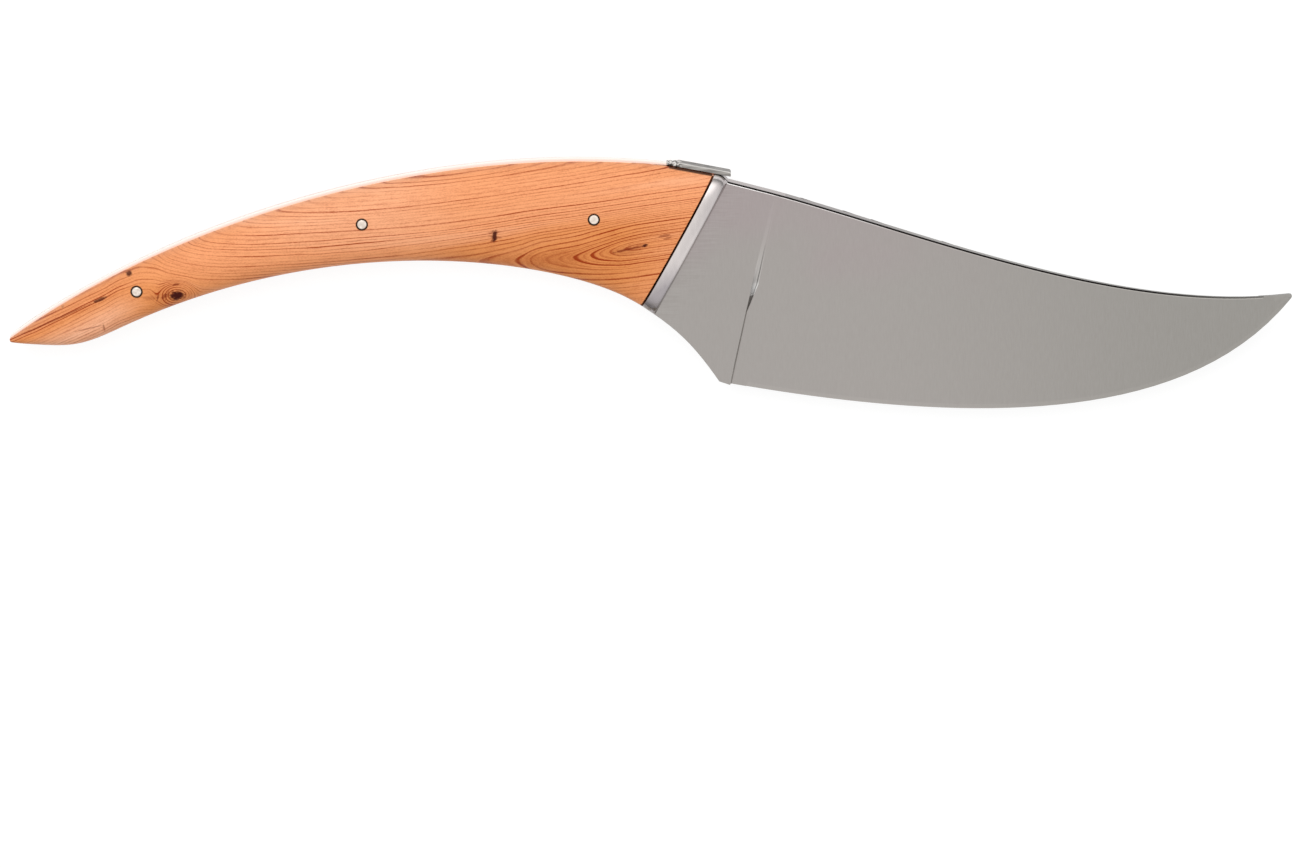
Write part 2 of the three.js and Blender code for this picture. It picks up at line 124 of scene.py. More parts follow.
# %% A socket that can be reckoned with
class Wire:
    """One output of a node tree. Arithmetic on it adds Math nodes to the tree."""

    def __init__(self, tree, socket=None):
        self.tree = tree
        self.socket = socket

    def make(self, kind, settings=None, sockets=None, out=0):
        node = self.tree.nodes.new(kind)
        for name, value in (settings or {}).items():
            if name == "stops":
                set_stops(node.color_ramp, value)
            elif name == "points":
                set_points(node.mapping, value)
            else:
                setattr(node, name, value)
        for key, value in (sockets or {}).items():
            if isinstance(value, Wire):
                self.tree.links.new(value.socket, node.inputs[key])
            else:
                node.inputs[key].default_value = value
        return Wire(self.tree, node.outputs[out] if len(node.outputs) else None)

    def side(self, out):
        """Another output of the node that this wire comes from."""
        return Wire(self.tree, self.socket.node.outputs[out])

    def math(self, operation, *values):
        return self.make("ShaderNodeMath", {"operation": operation}, dict(enumerate(values)))

    def __add__(self, other):
        return self.math("ADD", self, other)

    def __radd__(self, other):
        return self.math("ADD", other, self)

    def __sub__(self, other):
        return self.math("SUBTRACT", self, other)

    def __rsub__(self, other):
        return self.math("SUBTRACT", other, self)

    def __mul__(self, other):
        return self.math("MULTIPLY", self, other)

    def __rmul__(self, other):
        return self.math("MULTIPLY", other, self)

    def __truediv__(self, other):
        return self.math("DIVIDE", self, other)

    def __rtruediv__(self, other):
        return self.math("DIVIDE", other, self)

    def __mod__(self, other):
        return self.math("MODULO", self, other)

    def __pow__(self, other):
        return self.math("POWER", self, other)

    def __abs__(self):
        return self.math("ABSOLUTE", self)

    def step(self, low, high):
        """0 where this is below low, 1 where it is above high, and a smooth rise between."""
        limits = {"Value": self, "From Min": low, "From Max": high}
        return self.make("ShaderNodeMapRange", {"interpolation_type": "SMOOTHSTEP"}, limits)

    def drop(self, low, high):
        """1 where this is below low, 0 where it is above high."""
        return 1 - self.step(low, high)

    def hump(self, rise_start, rise_end, drop_start, drop_end):
        """0, then a rise to 1, then a drop to 0 again."""
        return self.step(rise_start, rise_end) * self.drop(drop_start, drop_end)


def set_stops(ramp, stops):
    """Gives a colour ramp these (place, colour) stops."""
    while len(ramp.elements) < len(stops):
        ramp.elements.new(1)
    for element, (place, colour) in zip(ramp.elements, stops):
        element.position = place
        element.color = (*colour, 1)


def set_points(mapping, points):
    """Gives a curve node these (across, up) points."""
    curve = mapping.curves[0].points
    while len(curve) < len(points):
        curve.new(1, 1)
    for point, place in zip(curve, points):
        point.location = place
    mapping.update()


def linear(red, green, blue):
    """A colour as seen on a screen, 0 to 255, as the linear values that nodes take, by the sRGB rule."""
    shares = [channel / 255 for channel in (red, green, blue)]
    return tuple(s / 12.92 if s <= 0.04045 else ((s + 0.055) / 1.055) ** 2.4 for s in shares)


# %% [markdown]
# ## The studio
# The real picture was made on a white table under large soft lamps. Polished steel shows its surroundings, so
# the surroundings matter as much as the lamps: a broad bright ceiling with a softbox behind the knife's back,
# and walls that fall off to grey near the horizon. Those grey walls draw the dark lines along the edges of
# the steel. The camera, and whatever mirrors the floor, sees the floor close to white. It still takes a faint
# shadow.

# %% Floor, world and lamp
FLOOR_DROP = 0.2 * MM  # under the knife, so that nothing flickers
FLOOR_RADIUS = 20.0
FLOOR_SIDES = 64
FLOOR_GLOW = 0.84
FLOOR_SHADE = 0.24  # how much of the floor's white comes from lamps, and so can hold a shadow
FLOOR_WHITE = 0.8
ROOM_LIGHT = 1.3
ROOM_GREYS = [  # from the horizon to the zenith
    (0.0, 0.14), (0.25, 0.3), (0.5, 0.7), (0.72, 0.96), (0.9, 0.85), (1.0, 0.8),
]
DIFFUSE_SHARE = 0.66  # of the room's light, on surfaces that don't mirror it
SOFTBOX_GAIN = 0.8
SOFTBOX_LEAN = math.radians(38)  # off the zenith, towards the knife's back
SOFTBOX_CORE = 0.15  # radians from its middle that are fully bright
SOFTBOX_RIM = 0.48  # radians from its middle to where it has faded out
KEY_POWER = 11.0  # watts
KEY_SIZE = 1.1
KEY_PLACE = Vector((-0.25, 0.9, 1.25))


def start_material(name):
    """A new material with an empty tree, and a wire to add its nodes with."""
    material = bpy.data.materials.new(name)
    material.use_nodes = True
    wire = Wire(material.node_tree)
    wire.tree.nodes.clear()
    return material, wire


def grey(level):
    return (level, level, level, 1)


def make_floor():
    material, wire = start_material("studio_floor")
    path = wire.make("ShaderNodeLightPath")
    seen = path.math("MAXIMUM", path.side("Is Camera Ray"), path.side("Is Glossy Ray"))
    seen = seen.math("MAXIMUM", seen, path.side("Is Transmission Ray"))
    glow = wire.make("ShaderNodeEmission", None, {"Strength": FLOOR_GLOW})
    shade = wire.make("ShaderNodeBsdfDiffuse", None, {"Color": grey(FLOOR_SHADE)})
    white = wire.make("ShaderNodeBsdfDiffuse", None, {"Color": grey(FLOOR_WHITE)})
    shown = wire.make("ShaderNodeAddShader", None, {0: glow, 1: shade})
    both = wire.make("ShaderNodeMixShader", None, {0: seen, 1: white, 2: shown})
    wire.make("ShaderNodeOutputMaterial", None, {"Surface": both})

    mesh = bpy.data.meshes.new("studio_floor")
    sheet = bmesh.new()
    bmesh.ops.create_circle(sheet, cap_ends=True, radius=FLOOR_RADIUS, segments=FLOOR_SIDES)
    sheet.to_mesh(mesh)
    sheet.free()
    mesh.transform(Matrix.Translation((0, 0, cad_low.z - FLOOR_DROP)))
    mesh.materials.append(material)
    floor = bpy.data.objects.new("studio_floor", mesh)
    scene.collection.objects.link(floor)
    return floor


def make_world():
    world = bpy.data.worlds.new("studio")
    world.use_nodes = True
    wire = Wire(world.node_tree)
    wire.tree.nodes.clear()
    direction = wire.make("ShaderNodeTexCoord", out="Generated")
    height = wire.make("ShaderNodeSeparateXYZ", None, {0: direction}, out="Z")
    softbox_way = (0, math.sin(SOFTBOX_LEAN), math.cos(SOFTBOX_LEAN))
    toward_box = wire.make(
        "ShaderNodeVectorMath", {"operation": "DOT_PRODUCT"}, {0: direction, 1: softbox_way}, out="Value",
    )
    softbox = toward_box.step(math.cos(SOFTBOX_RIM), math.cos(SOFTBOX_CORE)) * SOFTBOX_GAIN
    stops = [(place, (level,) * 3) for place, level in ROOM_GREYS]
    room = wire.make("ShaderNodeValToRGB", {"stops": stops}, {0: height}) * ROOM_LIGHT + softbox
    path = wire.make("ShaderNodeLightPath")
    mirrored_share = path.side("Is Glossy Ray") * (1 - DIFFUSE_SHARE) + DIFFUSE_SHARE
    around = wire.make("ShaderNodeBackground", None, {"Color": grey(1), "Strength": room * mirrored_share})
    plain = wire.make("ShaderNodeBackground", None, {"Color": grey(1)})
    both = wire.make("ShaderNodeMixShader", None, {0: path.side("Is Camera Ray"), 1: around, 2: plain})
    wire.make("ShaderNodeOutputWorld", None, {"Surface": both})
    scene.world = world


def make_key_lamp():
    lamp_data = bpy.data.lights.new("key_lamp", "AREA")
    lamp_data.energy = KEY_POWER
    lamp_data.size = KEY_SIZE
    lamp = bpy.data.objects.new("key_lamp", lamp_data)
    way = centre - KEY_PLACE
    lamp.matrix_world = Matrix.Translation(KEY_PLACE) @ way.to_track_quat("-Z", "Y").to_matrix().to_4x4()
    lamp.visible_glossy = False
    scene.collection.objects.link(lamp)


make_floor()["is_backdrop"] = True
make_world()
make_key_lamp()
print("studio: one floor, one world, one lamp of", KEY_POWER, "W")

# %% [markdown]
# ## Reading the rails of a half-round piece
# A scale is half of a rounded handle, sawn flat where it is glued to the tang. Its shape follows a rule: two
# rails, the back and the belly, and over each pair of points on them one half of a rounded section. The
# bolsters follow the same rule. The rails are the outline of the flat glued face, so they can be read from
# the solid without retyping a single point: take the faces that lie in the bond plane and walk round their
# outer edge.

# %% Rails from a solid's bond face
SNAP = 0.001 * MM
CROWN_REACH = 0.05 * MM  # how near the middle line a vertex must lie to count as the crown


def merged_copy(node, reach=SNAP):
    """The solid of a node as an editable mesh whose loose triangles are joined at their corners."""
    shape = bmesh.new()
    shape.from_mesh(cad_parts[node].data)
    bmesh.ops.remove_doubles(shape, verts=shape.verts, dist=reach)
    return shape


def outer_loop(shape, bond_height):
    """The corners round the flat face at this height, in order, starting after the longest edge."""
    flat = {f for f in shape.faces if all(abs(v.co.z - bond_height) < SNAP for v in f.verts)}
    rim = [e for e in shape.edges if len(flat.intersection(e.link_faces)) == 1]
    neighbours = {}
    for edge in rim:
        first, second = edge.verts
        neighbours.setdefault(first, []).append(second)
        neighbours.setdefault(second, []).append(first)
    longest = max(rim, key=lambda edge: edge.calc_length())
    last, current = longest.verts
    loop = [current.co.copy()]
    while current != longest.verts[0]:
        onward = [v for v in neighbours[current] if v != last][0]
        last, current = current, onward
        loop.append(current.co.copy())
    return loop


def read_rails(node):
    """Back rail, belly rail and crown heights of a right-hand piece, station by station towards the blade."""
    shape = merged_copy(node)
    bond_height = min(v.co.z for v in shape.verts)
    loop = outer_loop(shape, bond_height)
    half = len(loop) // 2
    rails = [loop[:half], loop[half:][::-1]]
    rails.sort(key=lambda rail: sum(point.y for point in rail))
    belly, back = rails
    if back[0].x + belly[0].x > back[-1].x + belly[-1].x:
        back.reverse()
        belly.reverse()
    known = []
    for station, (top, foot) in enumerate(zip(back, belly)):
        middle = (top + foot) / 2
        near_middle = [v.co.z for v in shape.verts if (v.co - middle).xy.length < CROWN_REACH]
        crown = max(near_middle, default=bond_height)
        if crown - bond_height > SNAP:
            known.append((station, crown - bond_height))
    shape.free()
    heights = np.interp(range(half), *zip(*known))
    print(f"{node}: {half} stations, crowns known at {len(known)}, highest {heights.max() / MM:.2f} mm")
    return back, belly, heights


scale_rails = read_rails("right_scale")
bolster_rails = read_rails("right_bolster")

# %% [markdown]
# ## A node tree that lofts half sections
# Lofting could be a loop over vertices, but as a Geometry Nodes tree it stays adjustable and serves four
# pieces. The tree lays out a grid with one row for each station and one column for each step over the crown,
# samples both rails at its row, and sets each point on a rounded section between them. The last column lands
# on the first again, which closes the flat side. The height of the crown travels as the back rail's point
# radius.

# %% The loft tree
def new_tree(name, inputs):
    """An empty geometry tree with these named inputs, and the wires that bring them in."""
    tree = bpy.data.node_groups.new(name, "GeometryNodeTree")
    tree.interface.new_socket("Geometry", in_out="OUTPUT", socket_type="NodeSocketGeometry")
    for label, kind in inputs.items():
        tree.interface.new_socket(label, in_out="INPUT", socket_type=kind)
    entry = Wire(tree).make("NodeGroupInput")
    return tree, {label: entry.side(label) for label in inputs}


def end_tree(geometry, finish):
    """Shades smooth, realizes, sets the finish and leaves the tree."""
    wire = geometry.make("GeometryNodeSetShadeSmooth", None, {"Geometry": geometry})
    wire = wire.make("GeometryNodeRealizeInstances", None, {"Geometry": wire})
    wire = wire.make("GeometryNodeSetMaterial", None, {"Geometry": wire, "Material": finish})
    wire.make("NodeGroupOutput", None, {0: wire})


def half_section_tree():
    tree, given = new_tree("half_section_loft", {
        "Back rail": "NodeSocketObject",
        "Belly rail": "NodeSocketObject",
        "Section steps": "NodeSocketInt",
        "Roundness": "NodeSocketFloat",
        "Side": "NodeSocketFloat",
        "Finish": "NodeSocketMaterial",
    })
    wire = Wire(tree)
    back = wire.make("GeometryNodeObjectInfo", None, {"Object": given["Back rail"]}, out="Geometry")
    belly = wire.make("GeometryNodeObjectInfo", None, {"Object": given["Belly rail"]}, out="Geometry")
    stations = wire.make(
        "GeometryNodeAttributeDomainSize", {"component": "CURVE"}, {"Geometry": back}, out="Point Count",
    )
    columns = given["Section steps"] + 2
    grid = wire.make("GeometryNodeMeshGrid", None, {"Vertices X": stations, "Vertices Y": columns})
    index = wire.make("GeometryNodeInputIndex")
    station = index.math("FLOOR", index / columns)
    column = (index % columns) % (columns - 1)
    angle = column * math.pi / given["Section steps"]

    def sample(rail, kind, field):
        sockets = {"Geometry": rail, "Value": wire.make(field), "Index": station}
        return wire.make("GeometryNodeSampleIndex", {"data_type": kind}, sockets)

    back_point = sample(back, "FLOAT_VECTOR", "GeometryNodeInputPosition")
    belly_point = sample(belly, "FLOAT_VECTOR", "GeometryNodeInputPosition")
    crown = sample(back, "FLOAT", "GeometryNodeInputRadius")
    cosine = angle.math("COSINE", angle)
    sine = angle.math("SINE", angle)
    power = 2 / given["Roundness"]
    across = angle.math("SIGN", cosine) * abs(cosine) ** power
    up = abs(sine) ** power
    place = wire.make(
        "ShaderNodeMix", {"data_type": "VECTOR"}, {0: (across + 1) / 2, 4: belly_point, 5: back_point}, out=1,
    )
    lift = wire.make("ShaderNodeCombineXYZ", None, {"Z": crown * up * given["Side"]})
    skin = wire.make("GeometryNodeSetPosition", None, {"Geometry": grid, "Position": place, "Offset": lift})
    skin = wire.make("GeometryNodeMergeByDistance", None, {"Geometry": skin, "Distance": SNAP})
    end_tree(skin, given["Finish"])
    return tree


loft_tree = half_section_tree()
print("loft tree:", len(loft_tree.nodes), "nodes")

# %% [markdown]
# ## From the tree to a closed, softened piece
# The tree gives an open tube, so its two ends are filled. Sanding takes the sharpness off every edge of a
# real scale or bolster: a narrow bevel stands for that, and a subdivision surface then runs smooth curves
# through the stations. The bevel comes first, because its close pair of loops holds the edge when the surface
# is divided.

# %% Growing and finishing a loft
SECTION_STEPS = 16
ROUNDNESS = 2.3
SHARP = math.radians(40)
SUBDIVISIONS = 2
MIDDLE_PLANE = centre.z
ROUNDED = 2  # strips of faces across a broken edge
CHAMFERED = 1
ROUND_PROFILE = 0.5


def new_piece(name, mesh):
    piece = bpy.data.objects.new(name, mesh)
    scene.collection.objects.link(piece)
    return piece


def settle(piece):
    """Makes the piece's modifiers part of its mesh."""
    depsgraph = bpy.context.evaluated_depsgraph_get()
    mesh = bpy.data.meshes.new_from_object(piece.evaluated_get(depsgraph))
    piece.modifiers.clear()
    piece.data = mesh


def grow(name, tree, values):
    """Runs a geometry tree with these inputs and keeps its result as a plain mesh."""
    piece = new_piece(name, bpy.data.meshes.new(name))
    modifier = piece.modifiers.new("tree", "NODES")
    modifier.node_group = tree
    for item in tree.interface.items_tree:
        if item.in_out == "INPUT":
            modifier[item.identifier] = values[item.name]
    settle(piece)
    piece.data.materials.pop(index=0)  # the tree's grid starts with an empty slot
    return piece


def rail_curve(name, points, radii):
    curve = bpy.data.curves.new(name, "CURVE")
    curve.dimensions = "3D"
    spline = curve.splines.new("POLY")
    spline.points.add(len(points) - 1)
    for spot, point, radius in zip(spline.points, points, radii):
        spot.co = (*point, 1)
        spot.radius = radius
    return new_piece(name, curve)


def mirrored(point):
    return Vector((point.x, point.y, 2 * MIDDLE_PLANE - point.z))


def break_edges(shape, edges, width, strips):
    """Bevels these edges and gives back the new faces."""
    made = bmesh.ops.bevel(
        shape, geom=edges, offset=width, segments=strips, profile=ROUND_PROFILE, affect="EDGES",
    )
    return made["faces"]


def close_and_soften(piece, softening):
    """Fills the open ends, turns the faces outwards and rounds the edges that a maker would sand."""
    shape = bmesh.new()
    shape.from_mesh(piece.data)
    bmesh.ops.holes_fill(shape, edges=[e for e in shape.edges if e.is_boundary])
    bmesh.ops.recalc_face_normals(shape, faces=shape.faces)
    edges = [e for e in shape.edges if e.calc_face_angle(0) > SHARP]
    break_edges(shape, edges, softening, ROUNDED)
    shape.to_mesh(piece.data)
    shape.free()
    subdivision = piece.modifiers.new("surface", "SUBSURF")
    subdivision.levels = SUBDIVISIONS
    subdivision.render_levels = SUBDIVISIONS
    settle(piece)


def half_round(name, rails, side, softening, finish):
    """A scale or a bolster: side 1 on the right of the tang, -1 on its left."""
    back, belly, heights = rails
    if side < 0:
        back = [mirrored(point) for point in back]
        belly = [mirrored(point) for point in belly]
    back_rail = rail_curve("back_rail", back, heights)
    belly_rail = rail_curve("belly_rail", belly, heights)
    piece = grow(name, loft_tree, {
        "Back rail": back_rail,
        "Belly rail": belly_rail,
        "Section steps": SECTION_STEPS,
        "Roundness": ROUNDNESS,
        "Side": float(side),
        "Finish": finish,
    })
    bpy.data.objects.remove(back_rail)
    bpy.data.objects.remove(belly_rail)
    close_and_soften(piece, softening)
    print(f"{name}: {len(piece.data.polygons)} faces")
    return piece


def stand_for(piece, node):
    """The piece takes the place of a CAD node. Nothing on this knife moves, so all ride on one body."""
    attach(piece, "root")
    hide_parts(node)


# %% [markdown]
# ## The wood
# The scales are a fragrant, fine-ringed softwood such as juniper: salmon-orange early wood, thin brown
# late-wood lines about a millimetre apart, a few small dark knots, and near the bolster a nest of pointed
# ovals where the saw has run along the heart of the stem. A wave texture could stripe it, but would never
# close into that nest. So the growth rings are reckoned as in a tree: the ring number is the distance from a
# heart line, which dips behind the surface to the left of the nest. The run of the lines, the heart's sag
# below them and its depth are three short curves along the handle. A knot brings its own ring numbers, which
# bends the lines around it.

# %% Places in the wood
PAST_WOOD = 3  # the curves run on this far past the scales; millimetres, as is everything in this cell
HANDLE_TAIL = cad_low.x / MM
HANDLE_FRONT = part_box("right_scale")[1].x / MM + PAST_WOOD
RING_WIDTH = 0.62
GRAIN_LOW = -12.0
GRAIN_HIGH = 14.0
DEEPEST = 10.0
GRAIN_LINE = [  # along the handle, height: the run of the lines above the nest
    (-129, -8.4), (-120, -3.9), (-111, 0.8), (-106, 3.4), (-101.6, 4.5), (-97.5, 3.6), (-93, 2.7),
    (-87, 2.2), (-71, 2.7), (-57.6, 3.6), (-44.8, 4.7), (-34.7, 6.0), (-26.5, 7.2), (-15.4, 8.75),
    (-7.5, 9.85), (-1.4, 10.65), (12, 12.2),
]
HEART_SAG = [  # along the handle, how far the heart lies below that line
    (-129, 0), (-44.8, 0.4), (-34.7, 0.9), (-26.5, 1.35), (-23.9, 1.55), (-15.4, 1.95), (-11.3, 1.8),
    (-7.9, 1.55), (-1.3, 1.15), (12, 0.9),
]
HEART_DEPTH = [  # along the handle, depth under the right-hand surface
    (-129, 4.8), (-38, 4.8), (-30.8, 4.4), (-26.3, 3.9), (-23.9, 3.3), (-20.9, 2.75), (-15.4, 2.2),
    (-11.3, 1.6), (-7.9, 1.0), (-4.9, 0.42), (-1.3, 0.04), (12, 0.3),
]
KNOTS = [  # along, height, half length, half height, tilt in degrees, darkness
    (-95.9, -1.0, 1.75, 1.15, 8, 1.0),
    (-31.6, 11.6, 0.62, 1.35, -4, 0.95),
    (-105.7, 3.2, 0.7, 0.6, 10, 0.9),
    (-111.6, -2.0, 1.8, 0.4, 25, 0.8),
    (-119.3, -3.8, 0.45, 0.35, 0, 0.6),
    (-1.2, 9.5, 0.7, 0.35, 10, 0.95),
]
STREAKS = [  # the same, for browner marks in the tail, round the knots and at the eye of the nest
    (-98.6, -1.2, 0.9, 0.4, 60, 0.7),
    (-99.8, -1.3, 1.2, 0.24, 76, 0.65),
    (-97.9, -0.9, 1.4, 0.22, 70, 0.55),
    (-101.3, -1.5, 1.7, 0.5, 4, 0.3),
    (-120.3, -6.1, 9.5, 0.24, 25.4, 0.6),
    (-114.0, -8.0, 3.2, 0.18, 14, 0.5),
    (-110.8, -7.9, 0.25, 0.9, 10, 0.5),
    (-96.1, 1.4, 0.9, 0.3, 10, 0.8),
    (-31.7, 12.4, 1.6, 0.4, 6, 0.45),
    (-31.5, 11.4, 1.5, 0.4, -10, 0.45),
    (-31.8, 10.7, 1.0, 0.3, 25, 0.6),
    (-4.6, 8.7, 3.6, 0.3, 13, 0.65),
    (-4.4, 8.6, 4.4, 1.3, 13, 0.22),
    (2.7, 11.5, 1.3, 0.3, 8, 0.6),
    (3.4, 11.0, 1.0, 0.3, 15, 0.5),
]


def curve_share(points, low, high):
    """Listed points as shares of the handle's length and of a range, for a curve node."""
    length = HANDLE_FRONT - HANDLE_TAIL
    return [((x - HANDLE_TAIL) / length, (y - low) / (high - low)) for x, y in points]


print(f"wood from {HANDLE_TAIL:.1f} to {HANDLE_FRONT:.1f} mm, {len(KNOTS)} knots, {len(STREAKS)} streaks")

# %% [markdown]
# ### Nodes that every finish uses
# A finish starts with the surface's place in the knife's frame. Reckoned in millimetres, the numbers in a
# finish can be read like sizes. Noise is stretched along an axis by giving it fewer waves there.

# %% Small helpers for finishes
def end_material(wire, settings):
    shader = wire.make("ShaderNodeBsdfPrincipled", None, settings)
    wire.make("ShaderNodeOutputMaterial", None, {"Surface": shader})


def millimetre_axes(wire):
    """The surface's place in the knife's frame, in millimetres."""
    place = wire.make("ShaderNodeTexCoord", out="Object")
    split = wire.make("ShaderNodeSeparateXYZ", None, {0: place})
    return [split.side(axis) * (1 / MM) for axis in "XYZ"]


def noise(wire, place, waves, detail=2.0, rough=0.5):
    """Smooth random values around 0, with this many waves per unit along each axis of the place."""
    axes = {axis: value * rate for axis, (value, rate) in enumerate(zip(place, waves))}
    vector = wire.make("ShaderNodeCombineXYZ", None, axes)
    sockets = {"Vector": vector, "Scale": 1.0, "Detail": detail, "Roughness": rough}
    return wire.make("ShaderNodeTexNoise", {"noise_dimensions": "3D"}, sockets) - 0.5


def bumped(wire, strength, depth, height):
    """The surface's direction, disturbed by a height that counts this deep."""
    return wire.make("ShaderNodeBump", None, {"Strength": strength, "Distance": depth, "Height": height})


def distance(across, up):
    return (across * across + up * up) ** 0.5


def mix_colour(wire, share, first, second):
    def as_colour(value):
        return value if isinstance(value, Wire) else (*value, 1)

    sockets = {0: share, 6: as_colour(first), 7: as_colour(second)}
    return wire.make("ShaderNodeMix", {"data_type": "RGBA", "clamp_factor": True}, sockets, out=2)


def along_curve(wire, x, points, low, high):
    share = (x - HANDLE_TAIL) / (HANDLE_FRONT - HANDLE_TAIL)
    curve = wire.make("ShaderNodeFloatCurve", {"points": curve_share(points, low, high)}, {"Value": share})
    return curve * (high - low) + low


# %% [markdown]
# ### Rings
# Everything that the wood's colour depends on is worked out once for a point of the surface: how far it lies
# above the grain line and above the heart, its ring number, and how much it belongs to the nest, the tail or
# the knot. Slow noise lets the lines sway and makes some rings wider than others. Both scales are cut from
# one block, so the left one shows almost the same rings in mirror image.

# %% Where a point of the wood lies
CROWN = cad_high.z / MM  # sizes in the finishes are in millimetres, apart from reliefs
MIDDLE = MIDDLE_PLANE / MM
STEEL_FACE = (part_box("blade")[1].z - MIDDLE_PLANE) / MM  # half of the steel's thickness
SLICE = 1  # in place of an axis: the noise is cut there instead of running on
SWAY = (0.03, 0.1, 0.1)  # waves per millimetre along the handle, over its height and through it
RIPPLE = (0.2, 0.5, 0.5)
UNEVEN = (0.02, 0.3, 3.0)  # the second per ring
SWAY_HEIGHT = 0.8
RIPPLE_HEIGHT = 0.15
UNEVEN_RINGS = 1.6
HEART_SLANT = 0.1  # how much deeper the heart lies for each millimetre down from the crown
SAG_END = (0, 9)  # heights above the grain line between which the sag fades out
NEST_TOP = (3, 9)  # and between which the nest gives way to straight lines
NEST_FRONT = (-62.0, -34.0)  # to the left of these places the heart lies outside the scale
HEART_TURN = (-0.5, 0.5)
UNDER_HEART = 0.65  # rings under the heart are wider: heights count for this share there
STRAIGHT_SHARE = 0.87
STRAIGHT_START = 4.2  # so that straight lines meet those above the nest
NOSE = 1.9  # 1 gives the nest's loops sharp noses, 2 round ones
NOSE_HEIGHT = (0.5, 3)  # distances from the heart's height between which the noses end
NOSE_END = (-18, -8)  # and places along the handle
TAIL_END = (-112.0, -100.0)  # to the left of these places the grain is coarser
TAIL_STREAK = 2.2  # height of the tail's brown streak under the grain line
TAIL_STREAK_EDGE = (0.4, 2.2)
KNOT_PLACE = KNOTS[0][:2]
KNOT_RING = 0.48
KNOT_STRETCH = 1.3
KNOT_CORE = 2.4  # distance from the knot's middle at which its own ring numbers start
KNOT_REACH = (2.0, 4.6)
KNOT_FRONT = (-2, 3)  # places from the knot's middle between which its dark lines fade


def from_heart(wire, x, y, z):
    """Heights above the grain line and the heart, the nest's share, and the ring number without the knot."""
    height = y + noise(wire, (x, y, z), SWAY) * SWAY_HEIGHT + noise(wire, (x, y, z), RIPPLE) * RIPPLE_HEIGHT
    depth = along_curve(wire, x, HEART_DEPTH, 0, DEEPEST) + (CROWN - z) * HEART_SLANT
    off = height - along_curve(wire, x, GRAIN_LINE, GRAIN_LOW, GRAIN_HIGH)
    over_heart = off + along_curve(wire, x, HEART_SAG, 0, DEEPEST) * off.drop(*SAG_END)
    rise = abs(over_heart) * (UNDER_HEART + over_heart.step(*HEART_TURN) * (1 - UNDER_HEART))
    nested = (rise ** NOSE + depth ** NOSE) ** (1 / NOSE)
    straight = off * STRAIGHT_SHARE + STRAIGHT_START
    in_nest = x.step(*NEST_FRONT) * off.drop(*NEST_TOP)
    return off, over_heart, in_nest, (straight + (nested - straight) * in_nest) / RING_WIDTH


def around_knot(rings, x, y):
    """How near the knot is, and the ring numbers with the knot's own rings set in."""
    from_core = distance((x - KNOT_PLACE[0]) / KNOT_STRETCH, y - KNOT_PLACE[1])
    own = (from_core - KNOT_CORE) / KNOT_RING
    near = from_core.drop(*KNOT_REACH)
    return near, rings + (own - rings) * near


def place_in_wood(wire):
    """All that the wood's looks depend on at a point of its surface."""
    x, y, z = millimetre_axes(wire)
    here = SimpleNamespace(x=x, y=y, z=z)
    here.off, here.over_heart, here.in_nest, here.plain_rings = from_heart(wire, x, y, z)
    rings = here.plain_rings + noise(wire, (x, here.plain_rings, SLICE), UNEVEN) * UNEVEN_RINGS
    here.near_knot, here.rings = around_knot(rings, x, y)
    here.beside_knot = here.near_knot * (1 - (x - KNOT_PLACE[0]).step(*KNOT_FRONT) * 0.7)
    here.in_tail = x.drop(*TAIL_END)
    here.tail_streak = here.in_tail * abs(here.off + TAIL_STREAK).drop(*TAIL_STREAK_EDGE)
    here.noses = here.in_nest * abs(here.over_heart).drop(*NOSE_HEIGHT) * x.drop(*NOSE_END)
    here.from_steel = abs(z - MIDDLE) - STEEL_FACE
    return here


# %% [markdown]
# ### Lines
# In each ring the colour deepens slowly and ends in a thin dark line. Every ring gets its own strength, from
# a random number drawn for its count, so that some lines stand out and others nearly vanish. Round the eye of
# the nest, finer lines lie between them. The plain factors here and in the other finishes are weights.

# %% The line that ends a ring
LATE_LINE = (0.55, 0.86, 0.9, 1.0)  # rise and drop of the dark line, as shares of a ring
FINE_LINE = (0.4, 0.8, 0.88, 1.0)  # and of the finer lines, as shares of half a ring
FADING = (0.05, 0.45, 0.1)
BREAKS = (0.9, 1.1, 0.9)
QUIET_PLACE = -96.0  # lines are faint round this place along the handle
QUIET_REACH = (5, 17)
PALE_DEPTH = (-5, -1)  # heights over the heart below which lines are faint, near the front of the nest
PALE_FRONT = (-16, -2)
BACK_EDGE = (-1.5, 0.5)  # heights over the grain line above which the tail's lines are faint
EYE_RINGS = (3, 7)


